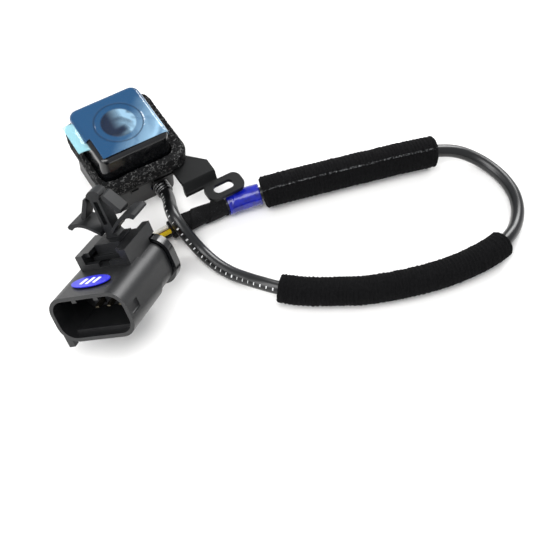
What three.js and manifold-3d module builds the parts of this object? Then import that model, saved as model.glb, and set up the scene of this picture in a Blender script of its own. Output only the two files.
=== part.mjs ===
// Rear-view camera for a vehicle: a camera head that lies on its back with the lens facing up, a jacketed
// cable with two fleece sleeves, and a sealed connector with a push-in clip. Millimetres, +Z up. The origin is
// on the surface, below the middle of the camera head with its bracket; +X runs towards the slotted ear.
import * as THREE from 'three';
import { mergeVertices } from 'three/addons/utils/BufferGeometryUtils.js';
import Module from 'manifold-3d';

const wasm = await Module();
wasm.setup();

// Fits
const GAP = 0.3;                  // clearance between pieces that meet

// Camera head
const HEAD_HEIGHT = 28.5;         // floor to lens face
const BODY_WIDTH = 26;            // the square body at its joint
const FACE_NARROWER = 1;          // lens face against the body
const BODY_RADIUS = 2.8;          // upright edges of the body
const FACE_BEVEL = 1.4;           // soft edge round the lens face
const BEVEL_STEPS = 3;
const SHELL_WALL = 1.6;
const FACE_WALL = 3.2;            // thicker wall that seats the lens barrel
const JOINT_HEIGHT = 11.2;        // where the two shells meet
const POST_INSET = 4.0;           // screw posts, from the outside of the body
const POST_RADIUS = 2.3;
const SCREW_RADIUS = 0.9;
const SCREW_HEAD_RADIUS = 1.7;
const SCREW_HEAD_HEIGHT = 1.1;
const SCREW_LENGTH = 13;
const SEAL_THICKNESS = 0.6;       // flat gasket in the joint

// Lens stack
const BARREL_RADIUS = 6.5;
const BARREL_FLANGE_RADIUS = 7.7;
const BARREL_FLANGE_HEIGHT = 0.9;
const BARREL_LENGTH = 8.6;
const FRONT_LENS_RADIUS = 5.4;
const FRONT_LENS_DOME = 1.4;
const FRONT_LENS_EDGE = 1.2;
const INNER_LENS_RADIUS = 4.2;
const REAR_LENS_RADIUS = 3.4;
const HOLDER_WIDTH = 15;
const HOLDER_BORE = 5.2;
const BARREL_SEAL = 0.55;

// Electronics
const BOARD_THICKNESS = 1;
const BOARD_MARGIN = 0.6;         // board edge to shell wall
const POWER_BOARD_HEIGHT = 9.5;
const SENSOR_BOARD_HEIGHT = 14;
const SENSOR_WIDTH = 7;
const SENSOR_HEIGHT = 1.2;
const CAN_WIDTH = 13;
const CAN_WALL = 0.5;
const HEADER_WIDTH = 12;
const HEADER_DEPTH = 2.4;
const SOCKET_WIDTH = 8;
const SOCKET_DEPTH = 4.5;
const SOCKET_HEIGHT = 5;

// Foam gasket, film and bracket
const FOAM_PROUD = 3.2;           // foam beyond the body, on average
const FOAM_SHIFT = 1.4;           // foam to the right of the body's middle
const FOAM_HEIGHT = 5.5;
const FOAM_BOTTOM = 14;
const FILM_THICKNESS = 0.4;
const FILM_SKIRT = 2.2;           // how far the film wraps down the bevel
const FILM_TAB_LENGTH = 4.5;
const FILM_TAB_WIDTH = 13;
const PLATE_THICKNESS = 1.5;      // bracket sheet
const RING_PROUD = 2.3;           // bracket ring beyond the body, on average
const RING_SHIFT = 0.8;
const ARM_LEFT = 10.5;            // arm that carries the ear
const ARM_RIGHT = 23;
const ARM_REACH = 9.5;            // wall of the body to the fold
const EAR_DROP = 3.2;             // step from the flange down to the ear
const EAR_LEFT = 16.5;
const EAR_RIGHT = 30.6;
const EAR_REACH = 11.6;           // wall of the body to the ear
const EAR_WIDTH = 7.6;
const SLOT_LENGTH = 7.6;
const SLOT_WIDTH = 3.6;
const HOOK_SPACING = 13.5;
const HOOK_WIDTH = 2.6;
const HOOK_HEIGHT = 2.4;
const HOOK_PROUD = 1.5;

// Cable and its wrappings
const CABLE_RADIUS = 2.3;
const CABLE_EXIT_X = 6.5;
const CABLE_EXIT_HEIGHT = 5.4;
const RELIEF_WALL = 0.5;
const RELIEF_FLANGE = 0.6;        // flange inside the wall, beyond the neck
const RELIEF_LENGTH = 4.2;
const CABLE_LIFT = 0.1;           // least height of the jacket above the surface
const WRAP_CLEARANCE = 0.6;       // cable to every wrapping on it
const UPPER_SLEEVE_RADIUS = 5.8;
const LOWER_SLEEVE_RADIUS = 5.1;
const BLUE_TAPE_BUILD = 1;        // thickness of the windings
const LOOM_BUILD = 0.45;
const WIRE_RADIUS = 0.8;
const WIRE_PITCH = 2.1;

// Connector, in its own frame: x across the mouth, y from the mouth to the wires, z up through the clip
const MOUTH_WIDTH = 28;
const MOUTH_HEIGHT = 15.8;
const MOUTH_RADIUS = 5.8;
const SHROUD_WALL = 1.3;
const SHROUD_LENGTH = 20;
const MOUTH_DEPTH = 16;
const REAR_LENGTH = 9.4;
const REAR_SETBACK = 0.7;         // rear part narrower than the shroud
const CAP_LENGTH = 3.2;
const CAP_PROUD = 0.6;            // rear cap beyond the shroud
const TERMINAL_PITCH = 4.4;
const TERMINAL_WIDTH = 1.3;
const TERMINAL_START = 9.5;
const RETAINER_THICKNESS = 2;
const RETAINER_TRAVEL = 1.5;
const KEY_WIDTH = 1.6;
const RAIL_START = 15.5;
const RAIL_LENGTH = 13.5;         // the left rail; the right one goes on over the rear cap
const RAIL_TAIL = 4;
const RAIL_SHIFT = 0.7;           // rails and clip to the right of the middle
const RAIL_HALF = 6.8;            // middle of the rails to the inside of one
const RAIL_THICKNESS = 2.5;
const RAIL_HEIGHT = 5;
const RAIL_LIP = 1.7;
const RAIL_LIP_HEIGHT = 1.5;
const SILL_DEPTH = 1.6;           // stop between the rails, at the front
const MARK_LENGTH = 14.2;
const MARK_WIDTH = 6.4;
const MARK_THICKNESS = 0.35;
const FOOT_HEIGHT = 1.8;          // short wedge under the left of the mouth
const FOOT_INSET = 1.6;
const FOOT_ROOT = 2.5;

// Push-in clip on the connector
const CLIP_ROOM = 2.7;            // from the sill to the clip, for its travel
const CLIP_LENGTH = 9.4;
const CLIP_PLATE = 1.7;
const STEM_WIDTH = 3.4;
const STEM_DEPTH = 4.6;
const STEM_HEIGHT = 21.6;         // top of the connector to the tip
const BARB_LENGTH = 7.6;
const BARB_SPREAD = 30;           // degrees from the stem
const BARB_WIDTH = 5;
const BARB_THICKNESS = 1.3;
const WING_REACH = 11.6;
const WING_RISE = 4.2;
const WING_WIDTH = 8.4;
const WING_THICKNESS = 1.3;
const WING_BEAD = 1.1;
const WING_ROOT = 7.6;            // above the connector's top
const WING_STEPS = 8;

// How the connector lies: mouth position, and its turns in degrees
const MOUTH_AT = [-40.4, -45.3];
const CONNECTOR_TURN = -53.5;
const CONNECTOR_TIP = -22;
const CONNECTOR_LEAN = -30.8;

// Route of the cable's middle, from inside the head to the wires at the connector. Lengthwise it is measured
// from the wall of the head that it leaves through, and so are the connector and the bracket's ear.
const ROUTE = [
  [6.5, 4.4, 5.4], [6.5, 0, 5.4], [6.5, -4.3, 5.4], [5.4, -8.8, 6.8], [3.6, -13.4, 9], [2.6, -18.2, 9.8],
  [3.2, -22.9, 7.8], [4.5, -26.8, 4.9], [5.7, -30.8, 3], [7.3, -36.5, 2.4], [9.7, -42.3, 2.6],
  [12.7, -47.5, 3.5], [15.9, -52.6, 4.8], [19.5, -57.1, 5.3], [26.5, -62.9, 5.3], [34.8, -68, 5.3],
  [42.3, -72.2, 5.3], [50.4, -75.5, 5.3], [59.1, -78.4, 5.3], [68, -80.7, 5.3], [80, -82.4, 5.3],
  [91, -82.4, 5.3], [98.6, -80.6, 4.7], [105, -77.2, 3.1], [110.2, -72.2, 2.4], [113.2, -66.4, 2.4],
  [114.2, -59.8, 2.4], [113.3, -53, 2.6], [110.3, -47, 3.6], [105.5, -42.4, 5.2], [99, -39, 6.15],
  [92, -36.8, 6.2], [84, -34.5, 6.2], [74.3, -32, 6.2], [63, -29, 6.2], [54.1, -26.8, 6.2],
  [45.9, -24.7, 6.2], [38.6, -23, 6.15], [32.8, -21.3, 5.4], [27.6, -19.8, 4.5], [22.6, -18.8, 3.9],
  [17.1, -18.2, 3.5], [11.1, -17.6, 3.45], [5, -17.4, 3.45], [0.5, -17.6, 3.6]
];
const LOWER_SLEEVE_SPAN = [13, 21.4];      // places on the route, counted in its points
const UPPER_SLEEVE_SPAN = [30.2, 37.6];
const BLUE_TAPE_SPAN = [37.75, 40];
const LOOM_SPAN = [40.1, 43.9];
const CABLE_STEPS = 58;

// Colours and finishes
const FINISH = {
  glossBlack: { color: 0x0b0c0e, roughness: 0.2, metalness: 0 },
  satinBlack: { color: 0x1b1d20, roughness: 0.5, metalness: 0 },
  greyBlack: { color: 0x2a2b2e, roughness: 0.45, metalness: 0 },
  foam: { color: 0x0e0e0f, roughness: 0.95, metalness: 0 },
  film: { color: 0x2b6d9c, roughness: 0.15, metalness: 0 },
  glass: { color: 0x10131c, roughness: 0.05, metalness: 0 },
  filter: { color: 0x5c88a0, roughness: 0.1, metalness: 0 },
  board: { color: 0x12402a, roughness: 0.5, metalness: 0 },
  tin: { color: 0xb9bcc0, roughness: 0.3, metalness: 1 },
  gold: { color: 0xc9a24a, roughness: 0.3, metalness: 1 },
  white: { color: 0xe9e8e2, roughness: 0.5, metalness: 0 },
  yellow: { color: 0xd9b51e, roughness: 0.45, metalness: 0 },
  red: { color: 0xa32420, roughness: 0.45, metalness: 0 },
  blackWire: { color: 0x121212, roughness: 0.45, metalness: 0 },
  cable: { color: 0x141517, roughness: 0.4, metalness: 0 },
  fleece: { color: 0x0c0c0d, roughness: 1, metalness: 0 },
  blueTape: { color: 0x1f3fbf, roughness: 0.25, metalness: 0 },
  rubber: { color: 0x151515, roughness: 0.6, metalness: 0 },
  orangeSeal: { color: 0xb5561f, roughness: 0.6, metalness: 0 }
};

// ---------- shapes ----------

function solidOf(geometry) {
  const bare = geometry.clone();
  bare.deleteAttribute('normal');
  bare.deleteAttribute('uv');
  const merged = mergeVertices(bare, 1e-4);
  return new wasm.Manifold(new wasm.Mesh({
    numProp: 3,
    vertProperties: new Float32Array(merged.attributes.position.array),
    triVerts: new Uint32Array(merged.index.array)
  }));
}

function geometryOf(solid) {
  const mesh = solid.getMesh();
  const geometry = new THREE.BufferGeometry();
  geometry.setAttribute('position', new THREE.BufferAttribute(new Float32Array(mesh.vertProperties), 3));
  geometry.setIndex(new THREE.BufferAttribute(new Uint32Array(mesh.triVerts), 1));
  return geometry;
}

function cut(geometry, ...tools) {
  return geometryOf(tools.reduce((solid, tool) => solid.subtract(solidOf(tool)), solidOf(geometry)));
}

function join(geometry, ...others) {
  return geometryOf(others.reduce((solid, other) => solid.add(solidOf(other)), solidOf(geometry)));
}

function common(geometry, other) {
  return geometryOf(solidOf(geometry).intersect(solidOf(other)));
}

function box(x0, x1, y0, y1, z0, z1) {
  const geometry = new THREE.BoxGeometry(x1 - x0, y1 - y0, z1 - z0);
  geometry.translate((x0 + x1) / 2, (y0 + y1) / 2, (z0 + z1) / 2);
  return geometry;
}

function rod(radius, z0, z1, x = 0, y = 0, sides = 24) {
  const geometry = new THREE.CylinderGeometry(radius, radius, z1 - z0, sides);
  geometry.rotateX(Math.PI / 2);
  geometry.translate(x, y, (z0 + z1) / 2);
  return geometry;
}

// A turned piece about Z, from a closed outline of [radius, height] drawn anticlockwise.
function turned(outline, sides = 24) {
  const points = outline.map(([radius, height]) => new THREE.Vector2(radius, height));
  if (outline[0][0] > 0) {
    points.push(points[0].clone());
  }
  const geometry = new THREE.LatheGeometry(points, sides);
  geometry.rotateX(Math.PI / 2);
  return geometry;
}

function roundedRect(halfX, halfY, radius, centreX = 0, centreY = 0) {
  const shape = new THREE.Shape();
  const right = centreX + halfX - radius;
  const left = centreX - halfX + radius;
  const top = centreY + halfY - radius;
  const bottom = centreY - halfY + radius;
  shape.absarc(right, top, radius, 0, Math.PI / 2);
  shape.absarc(left, top, radius, Math.PI / 2, Math.PI);
  shape.absarc(left, bottom, radius, Math.PI, 1.5 * Math.PI);
  shape.absarc(right, bottom, radius, 1.5 * Math.PI, 2 * Math.PI);
  return shape;
}

function plate(shape, z0, z1, curveSegments = 4) {
  const geometry = new THREE.ExtrudeGeometry(shape, { depth: z1 - z0, bevelEnabled: false, curveSegments });
  geometry.translate(0, 0, z0);
  return geometry;
}

// An outline drawn in y and z, made solid from x0 to x1.
function alongX(outline, x0, x1) {
  const turn = new THREE.Matrix4().makeBasis(
    new THREE.Vector3(0, 1, 0), new THREE.Vector3(0, 0, 1), new THREE.Vector3(1, 0, 0));
  return plate(outline, x0, x1).applyMatrix4(turn);
}

// An outline drawn in x and z, made solid from y0 to y1.
function alongY(outline, y0, y1, curveSegments = 4) {
  const geometry = plate(outline, -y1, -y0, curveSegments);
  geometry.rotateX(Math.PI / 2);
  return geometry;
}

function outlineOf(points) {
  return new THREE.Shape(points.map(([x, y]) => new THREE.Vector2(x, y)));
}

function framed(shape, hole) {
  shape.holes.push(hole);
  return shape;
}

// The square body: rounded squares stacked at the given heights, narrowing towards the lens face.
function stacked(levels, cornerSteps = 4) {
  const around = 4 * (cornerSteps + 1);
  const positions = [];
  const index = [];
  levels.forEach(({ z, half, radius }) => {
    for (let corner = 0; corner < 4; corner += 1) {
      for (let step = 0; step <= cornerSteps; step += 1) {
        const angle = (corner + step / cornerSteps) * Math.PI / 2;
        const signX = corner === 0 || corner === 3 ? 1 : -1;
        const signY = corner < 2 ? 1 : -1;
        positions.push(signX * (half - radius) + radius * Math.cos(angle));
        positions.push(signY * (half - radius) + radius * Math.sin(angle), z);
      }
    }
  });
  for (let level = 0; level < levels.length - 1; level += 1) {
    for (let i = 0; i < around; i += 1) {
      const a = level * around + i;
      const b = level * around + (i + 1) % around;
      index.push(a, b, b + around, a, b + around, a + around);
    }
  }
  const last = (levels.length - 1) * around;
  for (let i = 1; i < around - 1; i += 1) {
    index.push(0, i + 1, i, last, last + i, last + i + 1);
  }
  const geometry = new THREE.BufferGeometry();
  geometry.setAttribute('position', new THREE.Float32BufferAttribute(positions, 3));
  geometry.setIndex(index);
  return geometry;
}

// ---------- the assembly ----------

const model = new THREE.Group();
const head = new THREE.Group();
const connector = new THREE.Group();

function add(group, name, geometry, finish) {
  const mesh = new THREE.Mesh(geometry, new THREE.MeshStandardMaterial(FINISH[finish]));
  mesh.name = name;
  group.add(mesh);
  return mesh;
}

// ---------- camera head: shells ----------

const bodyHalf = BODY_WIDTH / 2;
const faceHalf = (BODY_WIDTH - FACE_NARROWER) / 2;
const innerHalf = bodyHalf - SHELL_WALL;
const faceInside = HEAD_HEIGHT - FACE_WALL;
const postAt = bodyHalf - POST_INSET;
const postSides = [[1, 1], [-1, -1]];       // the cable takes up a third corner
const shellTop = JOINT_HEIGHT + SEAL_THICKNESS / 2 + GAP;
const shellBottom = JOINT_HEIGHT - SEAL_THICKNESS / 2 - GAP;
const flangeSeat = HEAD_HEIGHT - BARREL_FLANGE_HEIGHT;
const sealSeat = flangeSeat - GAP - BARREL_SEAL - GAP;
const reliefRadius = CABLE_RADIUS + GAP + RELIEF_WALL;
const wrapBore = CABLE_RADIUS + WRAP_CLEARANCE;
const reliefTop = CABLE_EXIT_HEIGHT + reliefRadius + RELIEF_FLANGE;
const powerBoardAt = Math.max(POWER_BOARD_HEIGHT, reliefTop + GAP);

// Outside of the front shell, grown by a clearance for what wraps it: walls, and a quarter round at the face.
function frontOutside(grow, from) {
  const levels = [{ z: from, half: bodyHalf + grow, radius: BODY_RADIUS + grow }];
  const flatHalf = faceHalf - FACE_BEVEL;
  const flatRadius = Math.max(BODY_RADIUS - FACE_BEVEL, 0.4);
  const bend = FACE_BEVEL + grow;
  for (let step = 0; step <= BEVEL_STEPS; step += 1) {
    const angle = step / BEVEL_STEPS * Math.PI / 2;
    levels.push({
      z: HEAD_HEIGHT - FACE_BEVEL + bend * Math.sin(angle),
      half: flatHalf + bend * Math.cos(angle),
      radius: flatRadius + bend * Math.cos(angle)
    });
  }
  return stacked(levels);
}

function frontHousing() {
  const inside = stacked([
    { z: shellTop - 1, half: innerHalf, radius: BODY_RADIUS - SHELL_WALL },
    { z: faceInside, half: faceHalf - SHELL_WALL, radius: BODY_RADIUS - SHELL_WALL }
  ]);
  const posts = postSides.map(([sx, sy]) => rod(
    POST_RADIUS, shellTop, faceInside + 1, sx * postAt, sy * postAt, 12));
  const bores = postSides.map(([sx, sy]) => rod(
    SCREW_RADIUS + GAP, shellTop - 1, SCREW_HEAD_HEIGHT + SCREW_LENGTH + 1, sx * postAt, sy * postAt, 12));
  const hollow = cut(frontOutside(0, shellTop), inside);
  return cut(
    join(hollow, ...posts),
    rod(BARREL_RADIUS + GAP, faceInside - 1, HEAD_HEIGHT + 1),
    rod(BARREL_FLANGE_RADIUS + GAP, sealSeat, HEAD_HEIGHT + 1),
    ...bores);
}

function rearHousing() {
  const outside = plate(roundedRect(bodyHalf, bodyHalf, BODY_RADIUS), 0, shellBottom);
  const inside = plate(
    roundedRect(innerHalf, innerHalf, BODY_RADIUS - SHELL_WALL), SHELL_WALL + 0.4, shellBottom + 1);
  const posts = postSides.map(([sx, sy]) => rod(POST_RADIUS, 1, shellBottom, sx * postAt, sy * postAt, 12));
  const bores = postSides.flatMap(([sx, sy]) => [
    rod(SCREW_RADIUS + GAP, -1, shellBottom + 1, sx * postAt, sy * postAt, 12),
    rod(SCREW_HEAD_RADIUS + GAP, -1, GAP + SCREW_HEAD_HEIGHT + GAP, sx * postAt, sy * postAt, 12)
  ]);
  const exit = rod(reliefRadius + GAP, 0, 2 * SHELL_WALL + 1, 0, 0, 20);
  exit.rotateX(Math.PI / 2);
  exit.translate(CABLE_EXIT_X, -bodyHalf + 2 * SHELL_WALL, CABLE_EXIT_HEIGHT);
  const pocket = rod(reliefRadius + RELIEF_FLANGE + GAP, 0, 1 + 2 * GAP, 0, 0, 20);
  pocket.rotateX(Math.PI / 2);
  pocket.translate(CABLE_EXIT_X, -bodyHalf + SHELL_WALL + 1 + 2 * GAP, CABLE_EXIT_HEIGHT);
  const hooks = [-0.5, 0.5].map((side) => snapHook(CABLE_EXIT_X - 3 + side * HOOK_SPACING));
  const lug = box(
    CABLE_EXIT_X - 2.6, CABLE_EXIT_X + 2.6, -bodyHalf - 1.6, -bodyHalf + 1,
    CABLE_EXIT_HEIGHT + reliefRadius + GAP, CABLE_EXIT_HEIGHT + reliefRadius + 1.6);
  return cut(join(cut(outside, inside), ...posts, ...hooks, lug), ...bores, exit, pocket);
}

// A ramped hook on the outside of the rear shell that holds the bracket ring up against the foam.
function snapHook(x) {
  const top = Math.min(FOAM_BOTTOM - GAP - PLATE_THICKNESS - GAP, shellBottom);
  const wall = -bodyHalf;
  const outline = outlineOf([
    [wall + 1, top], [wall - 0.3, top], [wall - HOOK_PROUD, top - HOOK_HEIGHT * 0.25],
    [wall - HOOK_PROUD, top - HOOK_HEIGHT * 0.65], [wall - HOOK_PROUD * 0.4, top - HOOK_HEIGHT],
    [wall + 1, top - HOOK_HEIGHT]
  ]);
  return alongX(outline, x - HOOK_WIDTH / 2, x + HOOK_WIDTH / 2);
}

add(head, 'front_housing', frontHousing(), 'glossBlack');
add(head, 'rear_housing', rearHousing(), 'satinBlack');

// Screws from the back, heads sunk in their counterbores.
postSides.forEach(([sx, sy], i) => {
  const headTop = GAP + SCREW_HEAD_HEIGHT;
  const screw = turned([
    [0, GAP], [SCREW_HEAD_RADIUS, GAP], [SCREW_HEAD_RADIUS, headTop], [SCREW_RADIUS, headTop],
    [SCREW_RADIUS, headTop + SCREW_LENGTH], [0, headTop + SCREW_LENGTH]
  ], 14);
  screw.translate(sx * postAt, sy * postAt, 0);
  add(head, `housing_screw_${i + 1}`, screw, 'tin');
});

// ---------- camera head: lens ----------

const barrelBottom = HEAD_HEIGHT - BARREL_LENGTH;
const frontLensSeat = HEAD_HEIGHT - FRONT_LENS_DOME - FRONT_LENS_EDGE - 0.1;
const innerBore = INNER_LENS_RADIUS + GAP;

add(head, 'lens_barrel', turned([
  [innerBore, barrelBottom], [BARREL_RADIUS, barrelBottom], [BARREL_RADIUS, flangeSeat],
  [BARREL_FLANGE_RADIUS, flangeSeat], [BARREL_FLANGE_RADIUS, HEAD_HEIGHT - 0.3],
  [BARREL_FLANGE_RADIUS - 0.4, HEAD_HEIGHT], [FRONT_LENS_RADIUS + GAP + 0.3, HEAD_HEIGHT],
  [FRONT_LENS_RADIUS + GAP, HEAD_HEIGHT - 0.4], [FRONT_LENS_RADIUS + GAP, frontLensSeat - GAP],
  [innerBore, frontLensSeat - GAP]
]), 'glossBlack');

function domedLens(radius, edge, dome, bottom) {
  const profile = [[0, bottom], [radius, bottom], [radius, bottom + edge]];
  const steps = 3;
  for (let i = 1; i <= steps; i += 1) {
    const angle = i / steps * Math.PI / 2;
    profile.push([i === steps ? 0 : radius * Math.cos(angle), bottom + edge + dome * Math.sin(angle)]);
  }
  return turned(profile, 20);
}

add(head, 'front_lens', domedLens(
  FRONT_LENS_RADIUS, FRONT_LENS_EDGE, FRONT_LENS_DOME, frontLensSeat), 'glass');
const innerLensSeat = frontLensSeat - GAP - 0.4 - 2.4;
add(head, 'lens_element_2', domedLens(INNER_LENS_RADIUS, 1.2, 0.9, innerLensSeat), 'glass');
add(head, 'lens_spacer', turned([
  [REAR_LENS_RADIUS - 0.9, innerLensSeat - GAP - 0.7], [INNER_LENS_RADIUS, innerLensSeat - GAP - 0.7],
  [INNER_LENS_RADIUS, innerLensSeat - GAP], [REAR_LENS_RADIUS - 0.9, innerLensSeat - GAP]
], 20), 'satinBlack');
const rearLensSeat = barrelBottom + 0.3;
const rearLensRoom = innerLensSeat - GAP - 0.7 - GAP - rearLensSeat;
add(head, 'lens_element_3', domedLens(
  REAR_LENS_RADIUS, rearLensRoom * 0.6, rearLensRoom * 0.4, rearLensSeat), 'glass');
add(head, 'lens_seal', turned([
  [BARREL_RADIUS + GAP, sealSeat + GAP], [BARREL_FLANGE_RADIUS, sealSeat + GAP],
  [BARREL_FLANGE_RADIUS, sealSeat + GAP + BARREL_SEAL], [BARREL_RADIUS + GAP, sealSeat + GAP + BARREL_SEAL]
], 24), 'rubber');

// ---------- camera head: electronics ----------

const boardHalf = innerHalf - BOARD_MARGIN;
const cableStart = ROUTE[0][1] - bodyHalf;
const postClear = POST_RADIUS + GAP;

function board(height) {
  const blank = plate(roundedRect(boardHalf, boardHalf, 1), height, height + BOARD_THICKNESS, 3);
  const notches = postSides.map(([sx, sy]) => rod(
    postClear, height - 1, height + BOARD_THICKNESS + 1, sx * postAt, sy * postAt, 12));
  const corner = postSides.map(([sx, sy]) => box(
    Math.min(sx * postAt, sx * bodyHalf), Math.max(sx * postAt, sx * bodyHalf),
    Math.min(sy * postAt, sy * bodyHalf), Math.max(sy * postAt, sy * bodyHalf),
    height - 1, height + BOARD_THICKNESS + 1));
  return cut(blank, ...notches, ...corner);
}

const powerTop = powerBoardAt + BOARD_THICKNESS;
const sensorBoardTop = SENSOR_BOARD_HEIGHT + BOARD_THICKNESS;
const holderBottom = sensorBoardTop + GAP;
const holderTop = barrelBottom - GAP;
const holderHalf = HOLDER_WIDTH / 2;
const sensorTop = holderBottom + SENSOR_HEIGHT;

add(head, 'power_board', board(powerBoardAt), 'board');
add(head, 'sensor_board', board(SENSOR_BOARD_HEIGHT), 'board');
add(head, 'board_socket', box(
  CABLE_EXIT_X - SOCKET_WIDTH / 2, CABLE_EXIT_X + SOCKET_WIDTH / 2,
  cableStart + GAP, cableStart + GAP + SOCKET_DEPTH,
  powerBoardAt - GAP - SOCKET_HEIGHT, powerBoardAt - GAP), 'white');
add(head, 'board_header', box(
  -HEADER_WIDTH / 2, HEADER_WIDTH / 2, -boardHalf + 0.6, -boardHalf + 0.6 + HEADER_DEPTH,
  powerTop + GAP, SENSOR_BOARD_HEIGHT - GAP), 'rubber');
const canBottom = powerTop + GAP;
const canTop = SENSOR_BOARD_HEIGHT - GAP;
const canFront = -boardHalf + 0.6 + HEADER_DEPTH + 0.8;
add(head, 'shield_can', cut(
  box(-CAN_WIDTH / 2, CAN_WIDTH / 2, canFront, canFront + CAN_WIDTH, canBottom, canTop),
  box(-CAN_WIDTH / 2 + CAN_WALL, CAN_WIDTH / 2 - CAN_WALL, canFront + CAN_WALL, canFront + CAN_WIDTH - CAN_WALL,
    canBottom - 1, canTop - CAN_WALL)), 'tin');
add(head, 'image_sensor', box(
  -SENSOR_WIDTH / 2, SENSOR_WIDTH / 2, -SENSOR_WIDTH / 2, SENSOR_WIDTH / 2, holderBottom, sensorTop), 'glass');
add(head, 'lens_holder', cut(
  plate(roundedRect(holderHalf, holderHalf, 1.5), holderBottom, holderTop, 3),
  box(-SENSOR_WIDTH / 2 - 0.8, SENSOR_WIDTH / 2 + 0.8, -SENSOR_WIDTH / 2 - 0.8, SENSOR_WIDTH / 2 + 0.8,
    holderBottom - 1, sensorTop + 0.6),
  rod(HOLDER_BORE, sensorTop, holderTop + 1, 0, 0, 20)), 'satinBlack');
add(head, 'ir_filter', rod(HOLDER_BORE - GAP, holderTop - 0.9, holderTop - 0.4, 0, 0, 16), 'filter');
add(head, 'housing_seal', plate(framed(
  roundedRect(bodyHalf - GAP, bodyHalf - GAP, BODY_RADIUS - GAP),
  roundedRect(innerHalf, innerHalf, BODY_RADIUS - SHELL_WALL)),
JOINT_HEIGHT - SEAL_THICKNESS / 2, JOINT_HEIGHT + SEAL_THICKNESS / 2), 'rubber');

// ---------- camera head: foam, film and bracket ----------

const foamTop = FOAM_BOTTOM + FOAM_HEIGHT;
const collarHalf = bodyHalf + GAP;
const foamHalf = bodyHalf + FOAM_PROUD;
add(head, 'foam_gasket', plate(framed(
  roundedRect(foamHalf, foamHalf, BODY_RADIUS + 1.8, FOAM_SHIFT),
  roundedRect(collarHalf, collarHalf, BODY_RADIUS + GAP)), FOAM_BOTTOM, foamTop), 'foam');

// A peel-off film over the face; its skirt wraps three sides and a tab stands out on the left.
function protectiveFilm() {
  const outer = frontOutside(GAP + FILM_THICKNESS, FOAM_BOTTOM);
  const inner = frontOutside(GAP, FOAM_BOTTOM - 1);
  const skirtBottom = HEAD_HEIGHT - FILM_SKIRT;
  const kept = box(-foamHalf, foamHalf, -faceHalf + FACE_BEVEL, foamHalf, skirtBottom, HEAD_HEIGHT + 2);
  const skin = common(cut(outer, inner), kept);
  const edge = -faceHalf - GAP - FILM_THICKNESS;
  const tab = box(edge - FILM_TAB_LENGTH, edge + 0.2, -FILM_TAB_WIDTH / 2 + 2, FILM_TAB_WIDTH / 2 + 2,
    skirtBottom + 0.2, skirtBottom + 0.2 + FILM_THICKNESS);
  return join(skin, tab);
}

add(head, 'protective_film', protectiveFilm(), 'film');

const flangeTop = FOAM_BOTTOM - GAP;
const flangeBottom = flangeTop - PLATE_THICKNESS;
const earTop = flangeTop - EAR_DROP;
const earBottom = earTop - PLATE_THICKNESS;
const ringHalf = bodyHalf + RING_PROUD;
const armFold = -bodyHalf - ARM_REACH;
const earBack = -bodyHalf - EAR_REACH;

function bracket() {
  const ring = plate(roundedRect(ringHalf, ringHalf, BODY_RADIUS + 1.2, RING_SHIFT), flangeBottom, flangeTop);
  const arm = outlineOf([
    [ARM_LEFT, -ringHalf + 2], [ARM_LEFT, armFold + 1], [ARM_LEFT + 1, armFold], [ARM_RIGHT, armFold],
    [ARM_RIGHT, -ringHalf - 2.5], [ringHalf, -ringHalf + 5], [ringHalf - 2, -ringHalf + 2]
  ]);
  const run = earBack - armFold;
  const wall = alongX(outlineOf([
    [armFold + 0.6, flangeTop], [armFold + 0.6, flangeBottom], [armFold - 0.2, flangeBottom],
    [armFold + run * 0.55, earBottom + 0.4], [armFold + run * 0.8, earBottom], [earBack - 0.6, earBottom],
    [earBack - 0.6, earTop], [earBack - 0.1, earTop + 0.1], [armFold + run * 0.8, earTop + 0.8],
    [armFold + run * 0.35, flangeTop - 0.4], [armFold - 0.2, flangeTop]
  ]), ARM_LEFT, ARM_RIGHT);
  const earMiddle = earBack - EAR_WIDTH / 2;
  const ear = roundedRect((EAR_RIGHT - EAR_LEFT) / 2, EAR_WIDTH / 2, 2.8, (EAR_LEFT + EAR_RIGHT) / 2, earMiddle);
  const slotMiddle = (EAR_LEFT + EAR_RIGHT) / 2 - 0.3;
  framed(ear, roundedRect(SLOT_LENGTH / 2, SLOT_WIDTH / 2, SLOT_WIDTH / 2 - 0.01, slotMiddle, earMiddle - 0.1));
  const collar = plate(roundedRect(collarHalf, collarHalf, BODY_RADIUS + GAP), flangeBottom - 1, flangeTop + 1);
  return cut(join(ring, plate(arm, flangeBottom, flangeTop), wall, plate(ear, earBottom, earTop, 7)), collar);
}

add(head, 'mounting_bracket', bracket(), 'satinBlack');

// ---------- cable ----------

const route = new THREE.CatmullRomCurve3(
  ROUTE.map(([x, y, z]) => new THREE.Vector3(x, y - bodyHalf, Math.max(z, CABLE_RADIUS + CABLE_LIFT))),
  false, 'centripetal');
route.arcLengthDivisions = 800;

// A stretch of the cable's route between two places counted in its points.
class Stretch extends THREE.Curve {
  constructor(from, to) {
    super();
    this.from = from;
    this.to = to;
  }

  getPoint(t) {
    return route.getPoint((this.from + (this.to - this.from) * t) / (ROUTE.length - 1));
  }
}

function circle(radius, sides) {
  const points = [];
  for (let i = 0; i < sides; i += 1) {
    const angle = i / sides * 2 * Math.PI;
    points.push(new THREE.Vector2(radius * Math.cos(angle), radius * Math.sin(angle)));
  }
  return new THREE.Shape(points);
}

function swept(curve, shape, steps) {
  return new THREE.ExtrudeGeometry(shape, { steps, bevelEnabled: false, extrudePath: curve });
}

function wrapping(span, radius, steps) {
  return swept(new Stretch(...span), framed(circle(radius, 12), circle(wrapBore, 10)), steps);
}

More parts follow.
